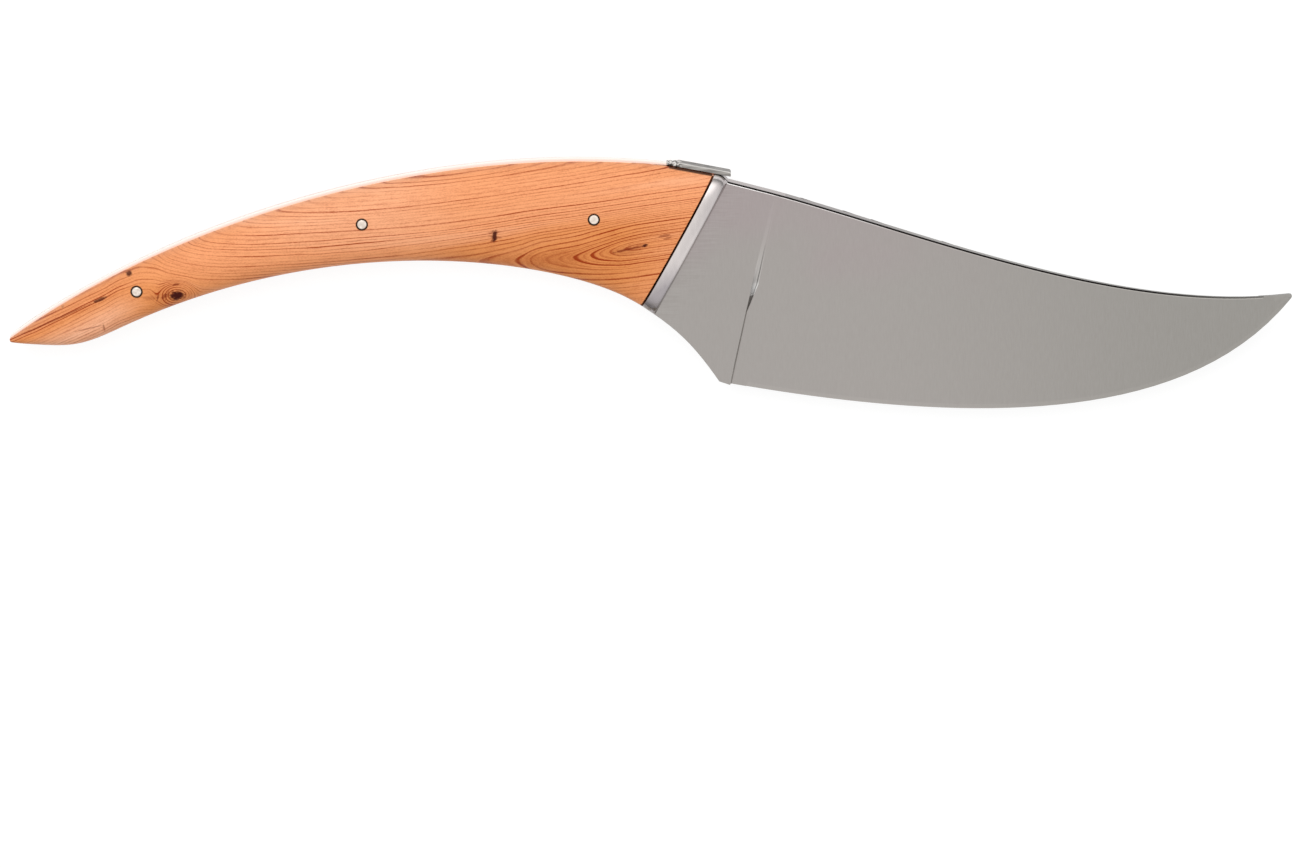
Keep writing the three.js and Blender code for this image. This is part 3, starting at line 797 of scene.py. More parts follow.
def late_line(wire, here):
    """How dark the line that ends a ring is at this point."""
    along_rings = (here.x, here.rings, here.z)
    count = here.rings.math("FLOOR", here.rings)
    draw = wire.make("ShaderNodeTexWhiteNoise", {"noise_dimensions": "1D"}, {"W": count})
    fade = noise(wire, along_rings, FADING).step(-0.2, 0.2)
    broken = noise(wire, along_rings, BREAKS, detail=3.0, rough=0.7)
    quiet = abs(here.x - QUIET_PLACE).drop(*QUIET_REACH) * (1 - here.near_knot)
    below_nest = here.in_nest * here.over_heart.drop(*PALE_DEPTH) * here.x.step(*PALE_FRONT)
    at_back = here.in_tail * here.off.step(*BACK_EDGE)
    strength = 0.3 + draw ** 2 * 0.9 + here.in_nest * 0.2 - below_nest * 0.4
    strength = strength + here.beside_knot - here.noses * 0.3
    strength = (strength + here.tail_streak * draw * 0.9) * (1 - at_back * 0.7)
    line = (here.rings - count).hump(*LATE_LINE) * strength
    line = line * (1 - quiet * 0.5) * (0.45 + fade * 0.55 + broken * 0.5)
    eye = here.in_nest * here.plain_rings.drop(*EYE_RINGS)
    halves = here.rings * 2
    halfway = halves - halves.math("FLOOR", halves)
    return line + halfway.hump(*FINE_LINE) * eye * 0.3


# %% [markdown]
# ### Colour
# Wood near the heart is browner than wood near the bark. Towards the belly the wood is browner still,
# partly its own tone and partly painted shade where the lower side turns from the light. Along the back and
# under the tail, paler wood is a painted sheen. Fibres are noise that is stretched along the rings, and pores
# are short, fine noise.

# %% Clean wood
BARK_SIDE_WOOD = linear(249, 169, 119)
HEART_SIDE_WOOD = linear(230, 146, 82)
PALE_AND_SHEEN_WOOD = linear(253, 190, 152)
LATE_WOOD = linear(160, 58, 10)
PORES = (2.6, 5.0, 5.0)
BANDS = (0.015, 0.16, 7.0)
BLOTCHES = (0.05, 0.14, 0.14)
BELLY_EDGE = (-7, 6)  # heights over the grain line between which the browner belly, partly painted shade, gives way
HEART_RINGS = (2, 26)  # ring numbers between which the heart's brown gives way
HEART_FRONT = (-8, 6)
SHEEN_PLACE = -62.0  # the painted sheen is brightest along the back round this place
SHEEN_REACH = (6, 28)
SHEEN_HEIGHT = (4, 11)
# Heights over the grain line below which the tail gets its painted sheen.
TAIL_SHEEN_EDGE = (-7, -3)


def clean_wood(wire, here, line, fibre):
    """The colour of the wood, painted sheen and belly shade included, without knots and dirt."""
    place = (here.x, here.y, here.z)
    pores = noise(wire, place, PORES)
    band = noise(wire, (here.x, here.rings, SLICE), BANDS)
    blotch = noise(wire, place, BLOTCHES)
    # Towards the belly the wood turns browner: partly its own tone, partly painted shade.
    belly = (here.off + blotch * 4).drop(*BELLY_EDGE) * 0.75 + 0.12
    nest_heart = (here.plain_rings + blotch * 8).drop(*HEART_RINGS) * (1 - here.x.step(*HEART_FRONT) * 0.5)
    heart_and_belly_shade = nest_heart * here.in_nest + (1 - here.in_nest) * belly
    # Painted sheen, where the rounded wood catches light: paler along the back and under the tail.
    back_sheen = abs(here.x - SHEEN_PLACE).drop(*SHEEN_REACH) * here.off.step(*SHEEN_HEIGHT)
    tail_sheen = here.in_tail * (here.off + band * 4).drop(*TAIL_SHEEN_EDGE)
    # Pale bands are the wood's own tone; the shares from the back and the tail are painted sheen.
    pale_and_sheen = band.step(0.02, 0.25) * 0.35 + tail_sheen * 0.8 + back_sheen * 0.4
    colour = mix_colour(wire, heart_and_belly_shade, BARK_SIDE_WOOD, HEART_SIDE_WOOD)
    colour = mix_colour(wire, pale_and_sheen, colour, PALE_AND_SHEEN_WOOD)
    mottle = fibre * 0.85 + pores * 0.75 - band * 0.2
    darkness = line * 1.1 + mottle + here.tail_streak * 0.15
    darkness = darkness + here.beside_knot * 0.2 + here.noses * 0.24 + 0.06
    return mix_colour(wire, darkness, colour, LATE_WOOD)


# %% [markdown]
# ### Knots, dirt and painted light
# Knots and spots are dark, with ragged edges. Shade is painted brown into the corner under the thumb plate,
# and old oil and polish sit as brown dirt round the pins. On the far side, a sliver of wood along the tang is
# painted near white, a painted highlight where light washes over its edge.

# %% Wood finish
KNOT_WOOD = linear(66, 10, 2)
STREAK_WOOD = linear(128, 44, 12)
# Brown for the painted shade under the thumb plate and for the dirt round the pins.
CORNER_SHADE_AND_DIRT = linear(52, 28, 14)
HIGHLIGHT_WOOD = linear(255, 246, 238)
FIBRES = (0.3, 2.6, 0.3)
RAGS = (1.4, 2.0, 2.0)
RAG_DEPTH = 1.3
SPOT_EDGE = (0.5, 1.15)  # shares of a spot's size between which it fades
KNOT_DEPTH = (0.8, 2.2)  # distances from the steel between which knots begin to show
HIGHLIGHT_EDGE = (0, 0.05, 0.6, 1.0)  # distances from the steel's left face over which the painted highlight lies
GUARD_TOP = Vector((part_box("right_scale")[1].x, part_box("right_bolster")[1].y)) / MM
LAND_SLOPE = math.tan(math.radians(10.8))
LAND_SHADOW = (0.12, 0.32)  # distances under the plate between which its painted shadow fades
LAND_START = (0, 0.8)
LAND_DEPTH = (1, 2.4)
PLATE_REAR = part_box("thumb_plate")[0].x / MM
PINS = ["pin_front", "pin_middle", "pin_rear"]
PIN_RADIUS = (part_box("pin_front")[1].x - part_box("pin_front")[0].x) / 2
PIN_CLEARANCE = 0.2 * MM
HOLE_RADIUS = (PIN_RADIUS + PIN_CLEARANCE) / MM
HOLE_DIRT = 0.16
FAR_AWAY = 1000.0
WOOD_RELIEF = 0.03 * MM


def spot_shade(places, x, y, ragged):
    """Darkness of spots at these places."""
    shade = 0.0
    for along, high, half_length, half_height, tilt, dark in places:
        cosine = math.cos(math.radians(tilt))
        sine = math.sin(math.radians(tilt))
        dx = x - along
        dy = y - high
        u = (dx * cosine + dy * sine) / half_length
        v = (dy * cosine - dx * sine) / half_height
        shade = (distance(u, v) + ragged).drop(*SPOT_EDGE) * dark + shade
    return shade


def from_pins(x, y):
    """How far a place lies from the axis of the nearest pin, in millimetres."""
    nearest = FAR_AWAY
    for node in PINS:
        low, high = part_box(node)
        axis = (low + high) / 2 / MM
        nearest = x.math("MINIMUM", distance(x - axis.x, y - axis.y), nearest)
    return nearest


def plate_shadow(here):
    """Painted shadow in the corner between the wood and the thumb plate."""
    land = GUARD_TOP.y + (GUARD_TOP.x - here.x) * LAND_SLOPE
    under_plate = (land - here.y).drop(*LAND_SHADOW) * (here.x - PLATE_REAR).step(*LAND_START)
    return under_plate * here.from_steel.drop(*LAND_DEPTH)


def make_wood():
    material, wire = start_material("handle_wood")
    here = place_in_wood(wire)
    line = late_line(wire, here)
    fibre = noise(wire, (here.x, here.rings, here.z), FIBRES, detail=3.0, rough=0.65)
    ragged = noise(wire, (here.x, here.y, here.z), RAGS, detail=3.0, rough=0.65) * RAG_DEPTH
    outside = here.from_steel.step(*KNOT_DEPTH)
    streaks = spot_shade(STREAKS, here.x, here.y, ragged) * outside
    knots = spot_shade(KNOTS, here.x, here.y, ragged) * outside
    # Painted highlight: the far scale's sliver along the tang is painted near white.
    wear_and_highlight = (MIDDLE - STEEL_FACE - here.z).hump(*HIGHLIGHT_EDGE)
    rim = from_pins(here.x, here.y).drop(HOLE_RADIUS, HOLE_RADIUS + HOLE_DIRT)
    colour = clean_wood(wire, here, line, fibre)
    # Painted shadow darkens the corner under the thumb plate; the rim round the pins is dirt.
    for share, shade in (
        (streaks, STREAK_WOOD), (knots, KNOT_WOOD), (wear_and_highlight, HIGHLIGHT_WOOD),
        (plate_shadow(here) * 0.95, CORNER_SHADE_AND_DIRT), (rim * 0.75, CORNER_SHADE_AND_DIRT),
    ):
        colour = mix_colour(wire, share, colour, shade)
    end_material(wire, {
        "Base Color": colour,
        "Roughness": 0.42 + fibre * 0.2 - line * 0.06,
        "Specular IOR Level": 0.12,
        "Normal": bumped(wire, 0.25, WOOD_RELIEF, line * -0.6 + fibre * 0.5 - knots * 0.8),
    })
    return material


handle_wood = make_wood()
print("wood:", len(handle_wood.node_tree.nodes), "nodes")

# %% [markdown]
# ## The scales
# Each scale is a loft over the rails of its solid, and gets three holes for the pins. The holes are a little
# wider than the pins, as on the real handle, where a dark ring of glue and shadow shows round each pin head.

# %% Two scales with pin holes
SCALE_SOFTENING = 0.12 * MM
HOLE_SIDES = 48


def drill(piece):
    for node in PINS:
        low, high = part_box(node)
        mesh = bpy.data.meshes.new("drill")
        bit = bmesh.new()
        radius = (high.x - low.x) / 2 + PIN_CLEARANCE
        length = 2 * (high.z - low.z)
        bmesh.ops.create_cone(
            bit, cap_ends=True, segments=HOLE_SIDES, radius1=radius, radius2=radius, depth=length,
            matrix=Matrix.Translation((low + high) / 2),
        )
        bit.to_mesh(mesh)
        bit.free()
        cutter = new_piece("drill", mesh)
        cut = piece.modifiers.new("hole", "BOOLEAN")
        cut.operation = "DIFFERENCE"
        cut.solver = "EXACT"
        cut.object = cutter
        settle(piece)
        bpy.data.objects.remove(cutter)


for hand, side in (("right", 1), ("left", -1)):
    scale = half_round(f"{hand}_scale_wood", scale_rails, side, SCALE_SOFTENING, handle_wood)
    drill(scale)
    scale.data.set_sharp_from_angle(angle=SHARP)
    stand_for(scale, f"{hand}_scale")

# %% [markdown]
# ## Steel for the bolsters
# The bolsters were filed and then polished by hand, together with the wood. Polishing leaves fine marks in
# one direction and an uneven gloss. Noise that is stretched along one axis gives both, in the colour, the
# roughness and a very shallow bump. Shade is painted into the steel's colour: it darkens from the wood
# towards the blade, near its top and towards its foot, where the rounded strip turns from the light. The
# steel is also stained at its foot.

# %% Bolster finish
BOLSTER_BRIGHT = linear(216, 209, 206)
BOLSTER_SHADE_AND_DULL = linear(160, 154, 156)
BOLSTER_STAIN = linear(110, 96, 76)
GUARD_SLANT = math.tan(math.radians(28.2))
BOLSTER_MARKS = (1.5, 0.3, 1.5)
STAIN_SPOTS = (1.1, 1.1, 1.1)
BOLSTER_LENGTH = (-0.4, 3.8)  # millimetres along the knife, from the wood to the blade's flat
BOLSTER_TOP = (8, 18)  # heights in millimetres, here and below
BOLSTER_FOOT = (-2, 7)
STAIN_TOP = (-5, -2.2)
POLISH_RELIEF = 0.01 * MM


def ahead_of_guard(x, y):
    """How far along the knife a place lies from the slanted joint of wood and bolster. Numbers or wires."""
    return x - GUARD_TOP.x - (y - GUARD_TOP.y) * GUARD_SLANT


def make_bolster_steel():
    material, wire = start_material("bolster_steel")
    x, y, z = millimetre_axes(wire)
    marks = noise(wire, (x, y, z), BOLSTER_MARKS, detail=3.0, rough=0.6)
    spots = noise(wire, (x, y, z), STAIN_SPOTS, detail=3.0, rough=0.7)
    # Painted shade: darker towards the blade, near the top and at the foot; the polish marks are real.
    shade_and_marks = ahead_of_guard(x, y).step(*BOLSTER_LENGTH) * (0.35 + y.step(*BOLSTER_TOP) * 0.3)
    shade_and_marks = shade_and_marks + y.drop(*BOLSTER_FOOT) * 0.9 + marks * 0.4
    stained = y.drop(*STAIN_TOP) * spots.step(-0.15, 0.1)
    colour = mix_colour(wire, shade_and_marks, BOLSTER_BRIGHT, BOLSTER_SHADE_AND_DULL)
    end_material(wire, {
        "Base Color": mix_colour(wire, stained * 0.8, colour, BOLSTER_STAIN),
        "Metallic": 1.0,
        "Roughness": 0.24 + marks * 0.1 + stained * 0.1,
        "Normal": bumped(wire, 0.12, POLISH_RELIEF, marks),
    })
    return material


bolster_steel = make_bolster_steel()
print("bolster steel:", len(bolster_steel.node_tree.nodes), "nodes")

# %% [markdown]
# ## The bolsters
# A bolster stands level with the wood and rolls down to the blade. It follows the same rule as a scale, so
# the same tree makes it, from rails that are only a few millimetres long.

# %% Two bolsters
BOLSTER_SOFTENING = 0.1 * MM

for hand, side in (("right", 1), ("left", -1)):
    bolster = half_round(f"{hand}_bolster_steel", bolster_rails, side, BOLSTER_SOFTENING, bolster_steel)
    bolster.data.set_sharp_from_angle(angle=SHARP)
    stand_for(bolster, f"{hand}_bolster")

# %% [markdown]
# ## Satin steel for the blade
# The blade's flats are satin: ground on a belt, then rubbed evenly, so that they look grey rather than
# mirror-like. The tang's edge was polished together with the wood and is much brighter, and towards the right
# scale a pink sheen is painted on it. One finish covers both, mixed by where the surface is along the knife.
# The narrow faces along the spine and the slope of the plunge catch other light than the flats do, and that
# light is painted into their colour: a painted dark reflection on the spine's chamfer and back, and a painted
# highlight on the thin line beside the chamfer and on the plunge's slope. The blade's faces carry marks, by
# which the finish tells them apart.

# %% Blade finish
SATIN_STEEL = linear(159, 154, 150)
SATIN_WARM = linear(161, 151, 150)
SATIN_TIP = linear(146, 143, 138)
# Painted dark reflection for the spine's chamfer and back, and painted highlight for the thin line.
ARRIS_DARK = linear(48, 45, 44)
ARRIS_BRIGHT = linear(240, 238, 236)
TANG_POLISH = linear(255, 250, 242)
# A painted pink sheen on the tang's edge beside the right scale.
TANG_PINK_SHEEN = linear(246, 196, 172)
JOINT_GLUE = linear(130, 78, 44)
BACK_MARK = 0.1
SLOPE_MARK = 0.3
LINE_MARK = 0.5
CHAMFER_MARK = 1.0
MARK_SLACK = 0.02
BRUSHING = (5.0, 0.5, 5.0)
RUBBING = (0.25, 4.0, 4.0)
CLOUDS = (0.05, 0.08, 0.08)
TANG_END = (0.4, 1.2)  # millimetres ahead of the guard, and so are the next two
GLUE_END = (-1.2, -0.6)
RUBBING_END = (6, 12)
GLUE_EDGE = (STEEL_FACE - 0.05, STEEL_FACE - 0.01)
SHEEN_ACROSS = (-1.6, STEEL_FACE)
WARM_HEIGHT = (-2, 20)
WARM_END = (30, 90)  # places along the knife, and so are the next four
TIP_SHADE = (40, 125)
LINE_DIMS = (14, 30)
LINE_ENDS = (40, 52)
CHAMFER_FADES = (100, 124)
PLUNGE_TURN = (-2.3, -1.9)  # heights above which the slope of the plunge is broad and gets a painted highlight
PLUNGE_BRIGHT = (-0.9, 1.2)  # and heights below which it gleams most
PLUNGE_GLEAM = (0, 9)
SATIN_RELIEF = 0.006 * MM


def face_marks(wire):
    """Shares that are 1 on the blade's marked faces: back, slope of the plunge, line and chamfer."""
    arris = wire.make("ShaderNodeAttribute", {"attribute_name": "arris"}, out="Fac")
    marks = (BACK_MARK, SLOPE_MARK, LINE_MARK, CHAMFER_MARK)
    return [arris.math("COMPARE", arris, mark, MARK_SLACK) for mark in marks]


def make_satin_steel():
    material, wire = start_material("blade_steel")
    x, y, z = millimetre_axes(wire)
    ahead = ahead_of_guard(x, y)
    on_tang = ahead.drop(*TANG_END)
    glue = abs(z - MIDDLE).step(*GLUE_EDGE) * on_tang * ahead.step(*GLUE_END)

    brushing = noise(wire, (x, y, z), BRUSHING, detail=3.0, rough=0.6)
    rubbing = noise(wire, (x, y, z), RUBBING, detail=3.0, rough=0.6) * ahead.drop(*RUBBING_END)
    cloud = noise(wire, (x, y, z), CLOUDS)
    warm = (y + cloud * 30).step(*WARM_HEIGHT) * x.drop(*WARM_END)
    on_back, on_slope, on_line, on_chamfer = face_marks(wire)
    # Painted highlight on the plunge's slope, which mirrors dark walls.
    gleam_strength = 0.03 + y.drop(*PLUNGE_GLEAM) * 0.2 + y.drop(*PLUNGE_BRIGHT) * 0.77
    gleam = on_slope * y.step(*PLUNGE_TURN) * gleam_strength
    # Painted highlight on the thin line beside the chamfer; painted dark reflection on the back and chamfer.
    light = on_line * (0.85 - x.step(*LINE_DIMS) * 0.5 - x.step(*LINE_ENDS) * 0.35)
    satin = mix_colour(wire, warm, SATIN_STEEL, SATIN_WARM)
    for share, shade in (
        (x.step(*TIP_SHADE), SATIN_TIP),
        (0.04 + brushing * 0.1 + rubbing * 0.2, ARRIS_BRIGHT),
        (gleam + light, ARRIS_BRIGHT),
        (on_back * 0.4, ARRIS_DARK),
        (on_chamfer * (1 - x.step(*CHAMFER_FADES) * 0.9), ARRIS_DARK),
    ):
        satin = mix_colour(wire, share, satin, shade)
    # The polished tang edge, with a painted pink sheen towards the right scale.
    polish_and_sheen = mix_colour(wire, (z - MIDDLE).step(*SHEEN_ACROSS), TANG_POLISH, TANG_PINK_SHEEN)
    colour = mix_colour(wire, on_tang, satin, polish_and_sheen)
    end_material(wire, {
        "Base Color": mix_colour(wire, glue, colour, JOINT_GLUE),
        "Metallic": 1 - glue,
        "Roughness": 0.3 + brushing * 0.08 - on_tang * 0.08 + glue * 0.4,
        "Normal": bumped(wire, 0.1, SATIN_RELIEF, brushing),
    })
    return material


blade_steel = make_satin_steel()
print("blade steel:", len(blade_steel.node_tree.nodes), "nodes")

# %% [markdown]
# ## The blade
# The blade's own solid already has its true form: flats, sloped plunge, taper and cutting bevel. Rebuilding
# it would only risk that form, so a merged copy is cleaned up. Flat areas are dissolved into single faces,
# and the edges of the spine, choil and tang are broken a little, as a maker does with a stone. The cutting
# edge is left keen.

# %% Blade mesh
FLAT_ENOUGH = math.radians(0.05)
CREASE = math.radians(16)
BEVEL_CREASE = math.radians(6)  # between the ground face and the cutting bevel, which both lie nearly flat
LIES_FLAT = 0.9
STANDS_UP = 0.2
TURNED_UP = 0.3
FACES_BACK = 0.7
CORNER = math.radians(50)
SPINE_BREAK = 0.36 * MM
LINE_BREAK = 0.07 * MM
TANG_BREAK = 0.08 * MM
KEEN = 0.45 * MM  # where the steel is thinner than twice this, its edges stay sharp
TIP_REACH = 2.5 * MM
SPINE_FOOT = -5 * MM  # the spine stays above this height, the choil below it
SPINE_CLEAR = 0.5 * MM  # wider than both breaks together, which would fold over closer corners
HEEL_SNAP = 0.02 * MM
BEHIND_GUARD = 0.1  # millimetres ahead of the guard that still count as tang
PLUNGE_REAR = 15 * MM  # the slope of the plunge lies between these two places along the knife
PLUNGE_FRONT = 27.5 * MM
PLUNGE_FOOT = -19 * MM
PLUNGE_TILT = 0.2
FACET = 4 * MM * MM  # the slope's facets are smaller than this


def keep_shading(piece):
    """Lets broad faces decide the shading, so that flats stay flat next to their broken edges."""
    weighted = piece.modifiers.new("shading", "WEIGHTED_NORMAL")
    weighted.keep_sharp = True
    settle(piece)


def finish_solid(name, shape, finish):
    bmesh.ops.remove_doubles(shape, verts=shape.verts, dist=SNAP)
    mesh = bpy.data.meshes.new(name)
    for face in shape.faces:
        face.smooth = True
    shape.to_mesh(mesh)
    shape.free()
    mesh.materials.append(finish)
    piece = new_piece(name, mesh)
    keep_shading(piece)
    print(f"{name}: {len(piece.data.polygons)} faces")
    return piece


def join_flats(shape):
    """Dissolves flat areas into single faces."""
    bmesh.ops.dissolve_limit(
        shape, angle_limit=FLAT_ENOUGH, verts=shape.verts, edges=shape.edges, delimit={"NORMAL"},
    )


def is_outline(edge):
    thick = all(abs(v.co.z - MIDDLE_PLANE) > KEEN for v in edge.verts)
    near_tip = any(v.co.x > cad_high.x - TIP_REACH for v in edge.verts)
    at_wall = any(abs(face.normal.z) < STANDS_UP for face in edge.link_faces)
    return edge.calc_face_angle(0) > CORNER and at_wall and thick and not near_tip


def is_crease(edge):
    angle = edge.calc_face_angle(0)
    flat = all(abs(face.normal.z) > LIES_FLAT for face in edge.link_faces)
    return angle > CREASE or (flat and angle > BEVEL_CREASE)


def touches_flat(edge):
    return any(abs(face.normal.z) > LIES_FLAT for face in edge.link_faces)


def on_tang_edge(edge):
    return all(ahead_of_guard(v.co.x / MM, v.co.y / MM) < BEHIND_GUARD for v in edge.verts)


def is_spine(edge):
    return is_outline(edge) and not on_tang_edge(edge) and edge.verts[0].co.y > SPINE_FOOT


def clear_spine(shape):
    """Merges corners beside the spine's edges into them, so that the chamfer doesn't fold over them."""
    ends = {vert for edge in shape.edges if is_spine(edge) for vert in edge.verts}
    close = {}
    for vert in set(shape.verts) - ends:
        nearest = min(ends, key=lambda end: (end.co - vert.co).length)
        if (nearest.co - vert.co).length < SPINE_CLEAR:
            close[vert] = nearest
    bmesh.ops.weld_verts(shape, targetmap=close)
    print(len(close), "corners merged into the spine")


def plunge_facets(shape, arris):
    """The facets of the plunge's slope: those that lean ahead, and the slivers between them."""
    near = set()
    for face in shape.faces:
        place = face.calc_center_median()
        if PLUNGE_REAR < place.x < PLUNGE_FRONT and place.y > PLUNGE_FOOT and face[arris] == 0:
            near.add(face)
    leaning = {face for face in near if face.normal.x > PLUNGE_TILT}
    beside = {other for face in leaning for edge in face.edges for other in edge.link_faces}
    return leaning | {face for face in beside & near if face.calc_area() < FACET}


def make_blade():
    shape = merged_copy("blade", HEEL_SNAP)
    join_flats(shape)
    clear_spine(shape)
    arris = shape.faces.layers.float.new("arris")
    outline = [edge for edge in shape.edges if is_outline(edge)]
    tang = [edge for edge in outline if on_tang_edge(edge)]
    spine = [edge for edge in outline if is_spine(edge)]
    choil = [edge for edge in outline if not on_tang_edge(edge) and not is_spine(edge)]
    stoned = break_edges(shape, spine, SPINE_BREAK, CHAMFERED)
    rims = {edge for face in stoned for edge in face.edges}
    rims = [edge for edge in shape.edges if edge in rims and touches_flat(edge)]
    for face in stoned:
        face[arris] = CHAMFER_MARK if face.normal.y > TURNED_UP else 0
    for face in break_edges(shape, rims, LINE_BREAK, CHAMFERED):
        face[arris] = LINE_MARK if face.normal.y > TURNED_UP / 2 else 0
    for edges in (choil, tang):
        break_edges(shape, [edge for edge in edges if edge.is_valid], TANG_BREAK, ROUNDED)
    slope = plunge_facets(shape, arris)
    for face in slope:
        face[arris] = SLOPE_MARK
    for face in shape.faces:
        if face[arris] == 0 and face.normal.y > FACES_BACK and abs(face.normal.z) < STANDS_UP:
            face[arris] = BACK_MARK
    for edge in shape.edges:
        edge.smooth = not is_crease(edge) or slope.issuperset(edge.link_faces)
    return finish_solid("blade_satin", shape, blade_steel)


blade = make_blade()
stand_for(blade, "blade")

# %% [markdown]
# ## The thumb plate
# A small plate is brazed on the back where thumb or finger presses. Three file cuts roughen its rear slope.
# Its solid has those cuts, so the copy only needs broken edges and a finish of its own: long streaks from the
# file, painted shade over the far half, a fine painted dark line along the near edge, and painted glints on
# the file cuts.

# %% Plate finish
PLATE_BRIGHT = linear(218, 214, 208)
PLATE_SHADE_AND_DULL = linear(84, 80, 76)
FILE_STREAKS = (0.12, 1.8, 1.8)
FILE_SPARKS = (1.3, 1.3, 0.8)
FILED_END = (2.0, 3.6)  # millimetres from the plate's rear end to the last of its file cuts
FAR_HALF = (0.4, 1.4)  # millimetres across from the middle
NEAR_EDGE = (STEEL_FACE - 0.03, STEEL_FACE - 0.005)
FILE_RELIEF = 0.02 * MM


def make_plate_steel():
    material, wire = start_material("plate_steel")
    x, y, z = millimetre_axes(wire)
    streaks = noise(wire, (x, y, z), FILE_STREAKS, detail=3.0, rough=0.6)
    sparks = noise(wire, (x, y, z), FILE_SPARKS, detail=2.0, rough=0.7)
    across = z - MIDDLE
    # Painted shade: the far half of the top and the near side face are darker, as they mirror less light.
    lines = across.drop(*FAR_HALF) * 0.75 + across.step(*NEAR_EDGE) * 0.4
    # On the file cuts, painted glints of bright and dark specks.
    filed = (x - PLATE_REAR).drop(*FILED_END)
    streaked = streaks.step(-0.15, 0.15) * 0.35 + lines
    shade_and_streaks = streaked + (sparks.step(-0.03, 0.03) - streaked) * filed
    end_material(wire, {
        "Base Color": mix_colour(wire, shade_and_streaks, PLATE_BRIGHT, PLATE_SHADE_AND_DULL),
        "Metallic": 1.0,
        "Roughness": 0.24 + shade_and_streaks * 0.12,
        "Normal": bumped(wire, 0.15, FILE_RELIEF, streaks),
    })
    return material


plate_steel = make_plate_steel()
print("plate steel:", len(plate_steel.node_tree.nodes), "nodes")

# %% Thumb plate
PLATE_BREAK = 0.06 * MM


def make_thumb_plate():
    shape = merged_copy("thumb_plate")
    join_flats(shape)
    edges = [edge for edge in shape.edges if edge.calc_face_angle(0) > CORNER]
    break_edges(shape, edges, PLATE_BREAK, ROUNDED)
    for edge in shape.edges:
        edge.smooth = edge.calc_face_angle(0) < CORNER
    return finish_solid("thumb_plate_filed", shape, plate_steel)


thumb_plate = make_thumb_plate()
stand_for(thumb_plate, "thumb_plate")

# %% [markdown]
# ## The pins
# Each pin runs through both scales and the tang, and its ends are peened to a low dome. All three follow one
# rule: a profile turned about the pin's axis. The tree lays a grid round that axis and sets each column on
# the profile, so a single tree makes every pin from its length and radius. A little noise leaves the hammer's
# dents. The finish is hammered steel, with dark glue along its sides.

# %% Pin finish
PIN_BRIGHT = linear(238, 226, 214)
PIN_DULL = linear(216, 202, 190)
PIN_GLUE = linear(76, 42, 20)
HAMMER_MARKS = (1.6, 1.6, 1.6)
GLUE_RIM = (PIN_RADIUS / MM - 0.12, PIN_RADIUS / MM - 0.02)


def make_pin_steel():
    material, wire = start_material("pin_steel")
    x, y, z = millimetre_axes(wire)
    marks = noise(wire, (x, y, z), HAMMER_MARKS, detail=3.0, rough=0.6)
    wear_and_highlight = marks.step(-0.15, 0.15)
    glue = from_pins(x, y).step(*GLUE_RIM)
    colour = mix_colour(wire, wear_and_highlight, PIN_BRIGHT, PIN_DULL)
    end_material(wire, {
        "Base Color": mix_colour(wire, glue * 0.9, colour, PIN_GLUE),
        "Metallic": 1 - glue * 0.8,
        "Roughness": 0.22 + wear_and_highlight * 0.12 + glue * 0.3,
        "Normal": bumped(wire, 0.12, POLISH_RELIEF, marks),
    })
    return material


pin_steel = make_pin_steel()
print("pin steel:", len(pin_steel.node_tree.nodes), "nodes")

# %% The pin tree
PIN_SIDES = 48
PIN_STEPS = 8
PIN_DOME = 0.25 * MM
PIN_DENT = 0.03 * MM
DENT_WAVES = 1.6 / MM


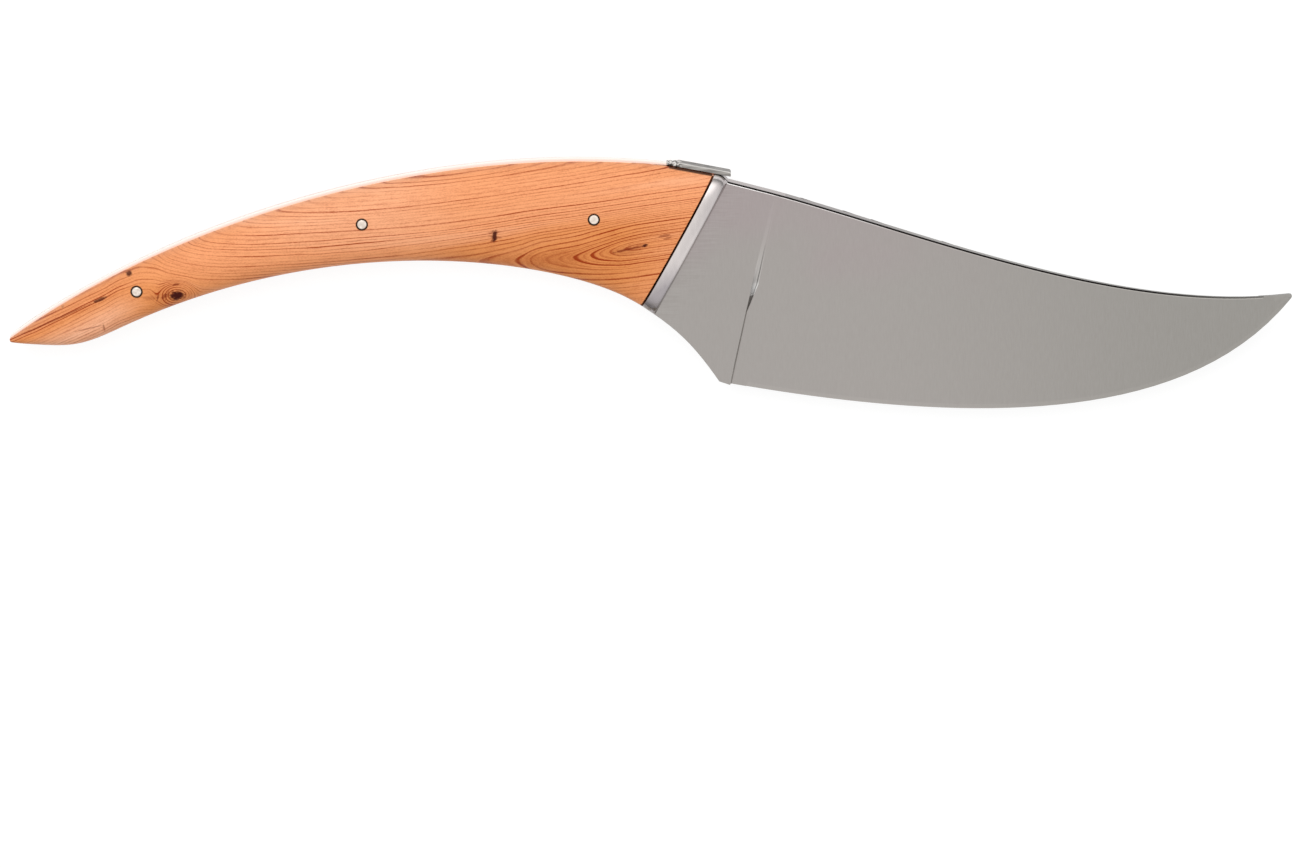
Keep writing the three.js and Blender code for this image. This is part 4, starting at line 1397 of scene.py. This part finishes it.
def pin_tree():
    tree, given = new_tree("peened_pin", {
        "Centre": "NodeSocketVector",
        "Radius": "NodeSocketFloat",
        "Half length": "NodeSocketFloat",
        "Dome": "NodeSocketFloat",
        "Dent": "NodeSocketFloat",
        "Sides": "NodeSocketInt",
        "Steps": "NodeSocketInt",
        "Seed": "NodeSocketFloat",
        "Finish": "NodeSocketMaterial",
    })
    wire = Wire(tree)
    columns = given["Steps"] * 2 + 2
    grid = wire.make("GeometryNodeMeshGrid", None, {"Vertices X": given["Sides"] + 1, "Vertices Y": columns})
    index = wire.make("GeometryNodeInputIndex")
    angle = index.math("FLOOR", index / columns) * (2 * math.pi) / given["Sides"]
    column = index % columns
    upper = column.math("GREATER_THAN", column, given["Steps"] + 0.5)
    share = (upper * (columns - 1 - column) + (1 - upper) * column) / given["Steps"]
    radius = given["Radius"] * share
    dome = given["Dome"] * (1 - share * share) ** 0.5
    end = (upper * 2 - 1) * (given["Half length"] - given["Dome"] + dome)
    x = radius * angle.math("COSINE", angle)
    y = radius * angle.math("SINE", angle)
    shift = wire.make("ShaderNodeCombineXYZ", None, {"X": x, "Y": y, "Z": end})
    place = wire.make("ShaderNodeVectorMath", {"operation": "ADD"}, {0: shift, 1: given["Centre"]})
    skin = wire.make("GeometryNodeSetPosition", None, {"Geometry": grid, "Position": place})
    skin = wire.make("GeometryNodeMergeByDistance", None, {"Geometry": skin, "Distance": SNAP})
    spot = wire.make("GeometryNodeInputPosition")
    sockets = {"Vector": spot, "W": given["Seed"], "Scale": DENT_WAVES}
    dents = wire.make("ShaderNodeTexNoise", {"noise_dimensions": "4D"}, sockets)
    push = (dents - 0.5) * given["Dent"]
    dent = wire.make("ShaderNodeCombineXYZ", None, {"Z": push})
    skin = wire.make("GeometryNodeSetPosition", None, {"Geometry": skin, "Offset": dent})
    end_tree(skin, given["Finish"])
    return tree


turned_pin = pin_tree()
for seed, node in enumerate(PINS):
    low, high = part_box(node)
    pin = grow(f"{node}_peened", turned_pin, {
        "Centre": (low + high) / 2,
        "Radius": (high.x - low.x) / 2,
        "Half length": (high.z - low.z) / 2,
        "Dome": PIN_DOME,
        "Dent": PIN_DENT,
        "Sides": PIN_SIDES,
        "Steps": PIN_STEPS,
        "Seed": float(seed),
        "Finish": pin_steel,
    })
    shape = bmesh.new()
    shape.from_mesh(pin.data)
    bmesh.ops.recalc_face_normals(shape, faces=shape.faces)
    shape.to_mesh(pin.data)
    shape.free()
    pin.data.set_sharp_from_angle(angle=SHARP)
    stand_for(pin, node)
    print(f"{pin.name}: {len(pin.data.polygons)} faces")

# %% [markdown]
# The dressed knife has to be the size of its solids. Its box is printed, to be read beside the solids' size
# printed at the start.

# %% Print the dressed box
low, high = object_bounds()
print("dressed size in mm:", [round(side / MM, 2) for side in high - low])
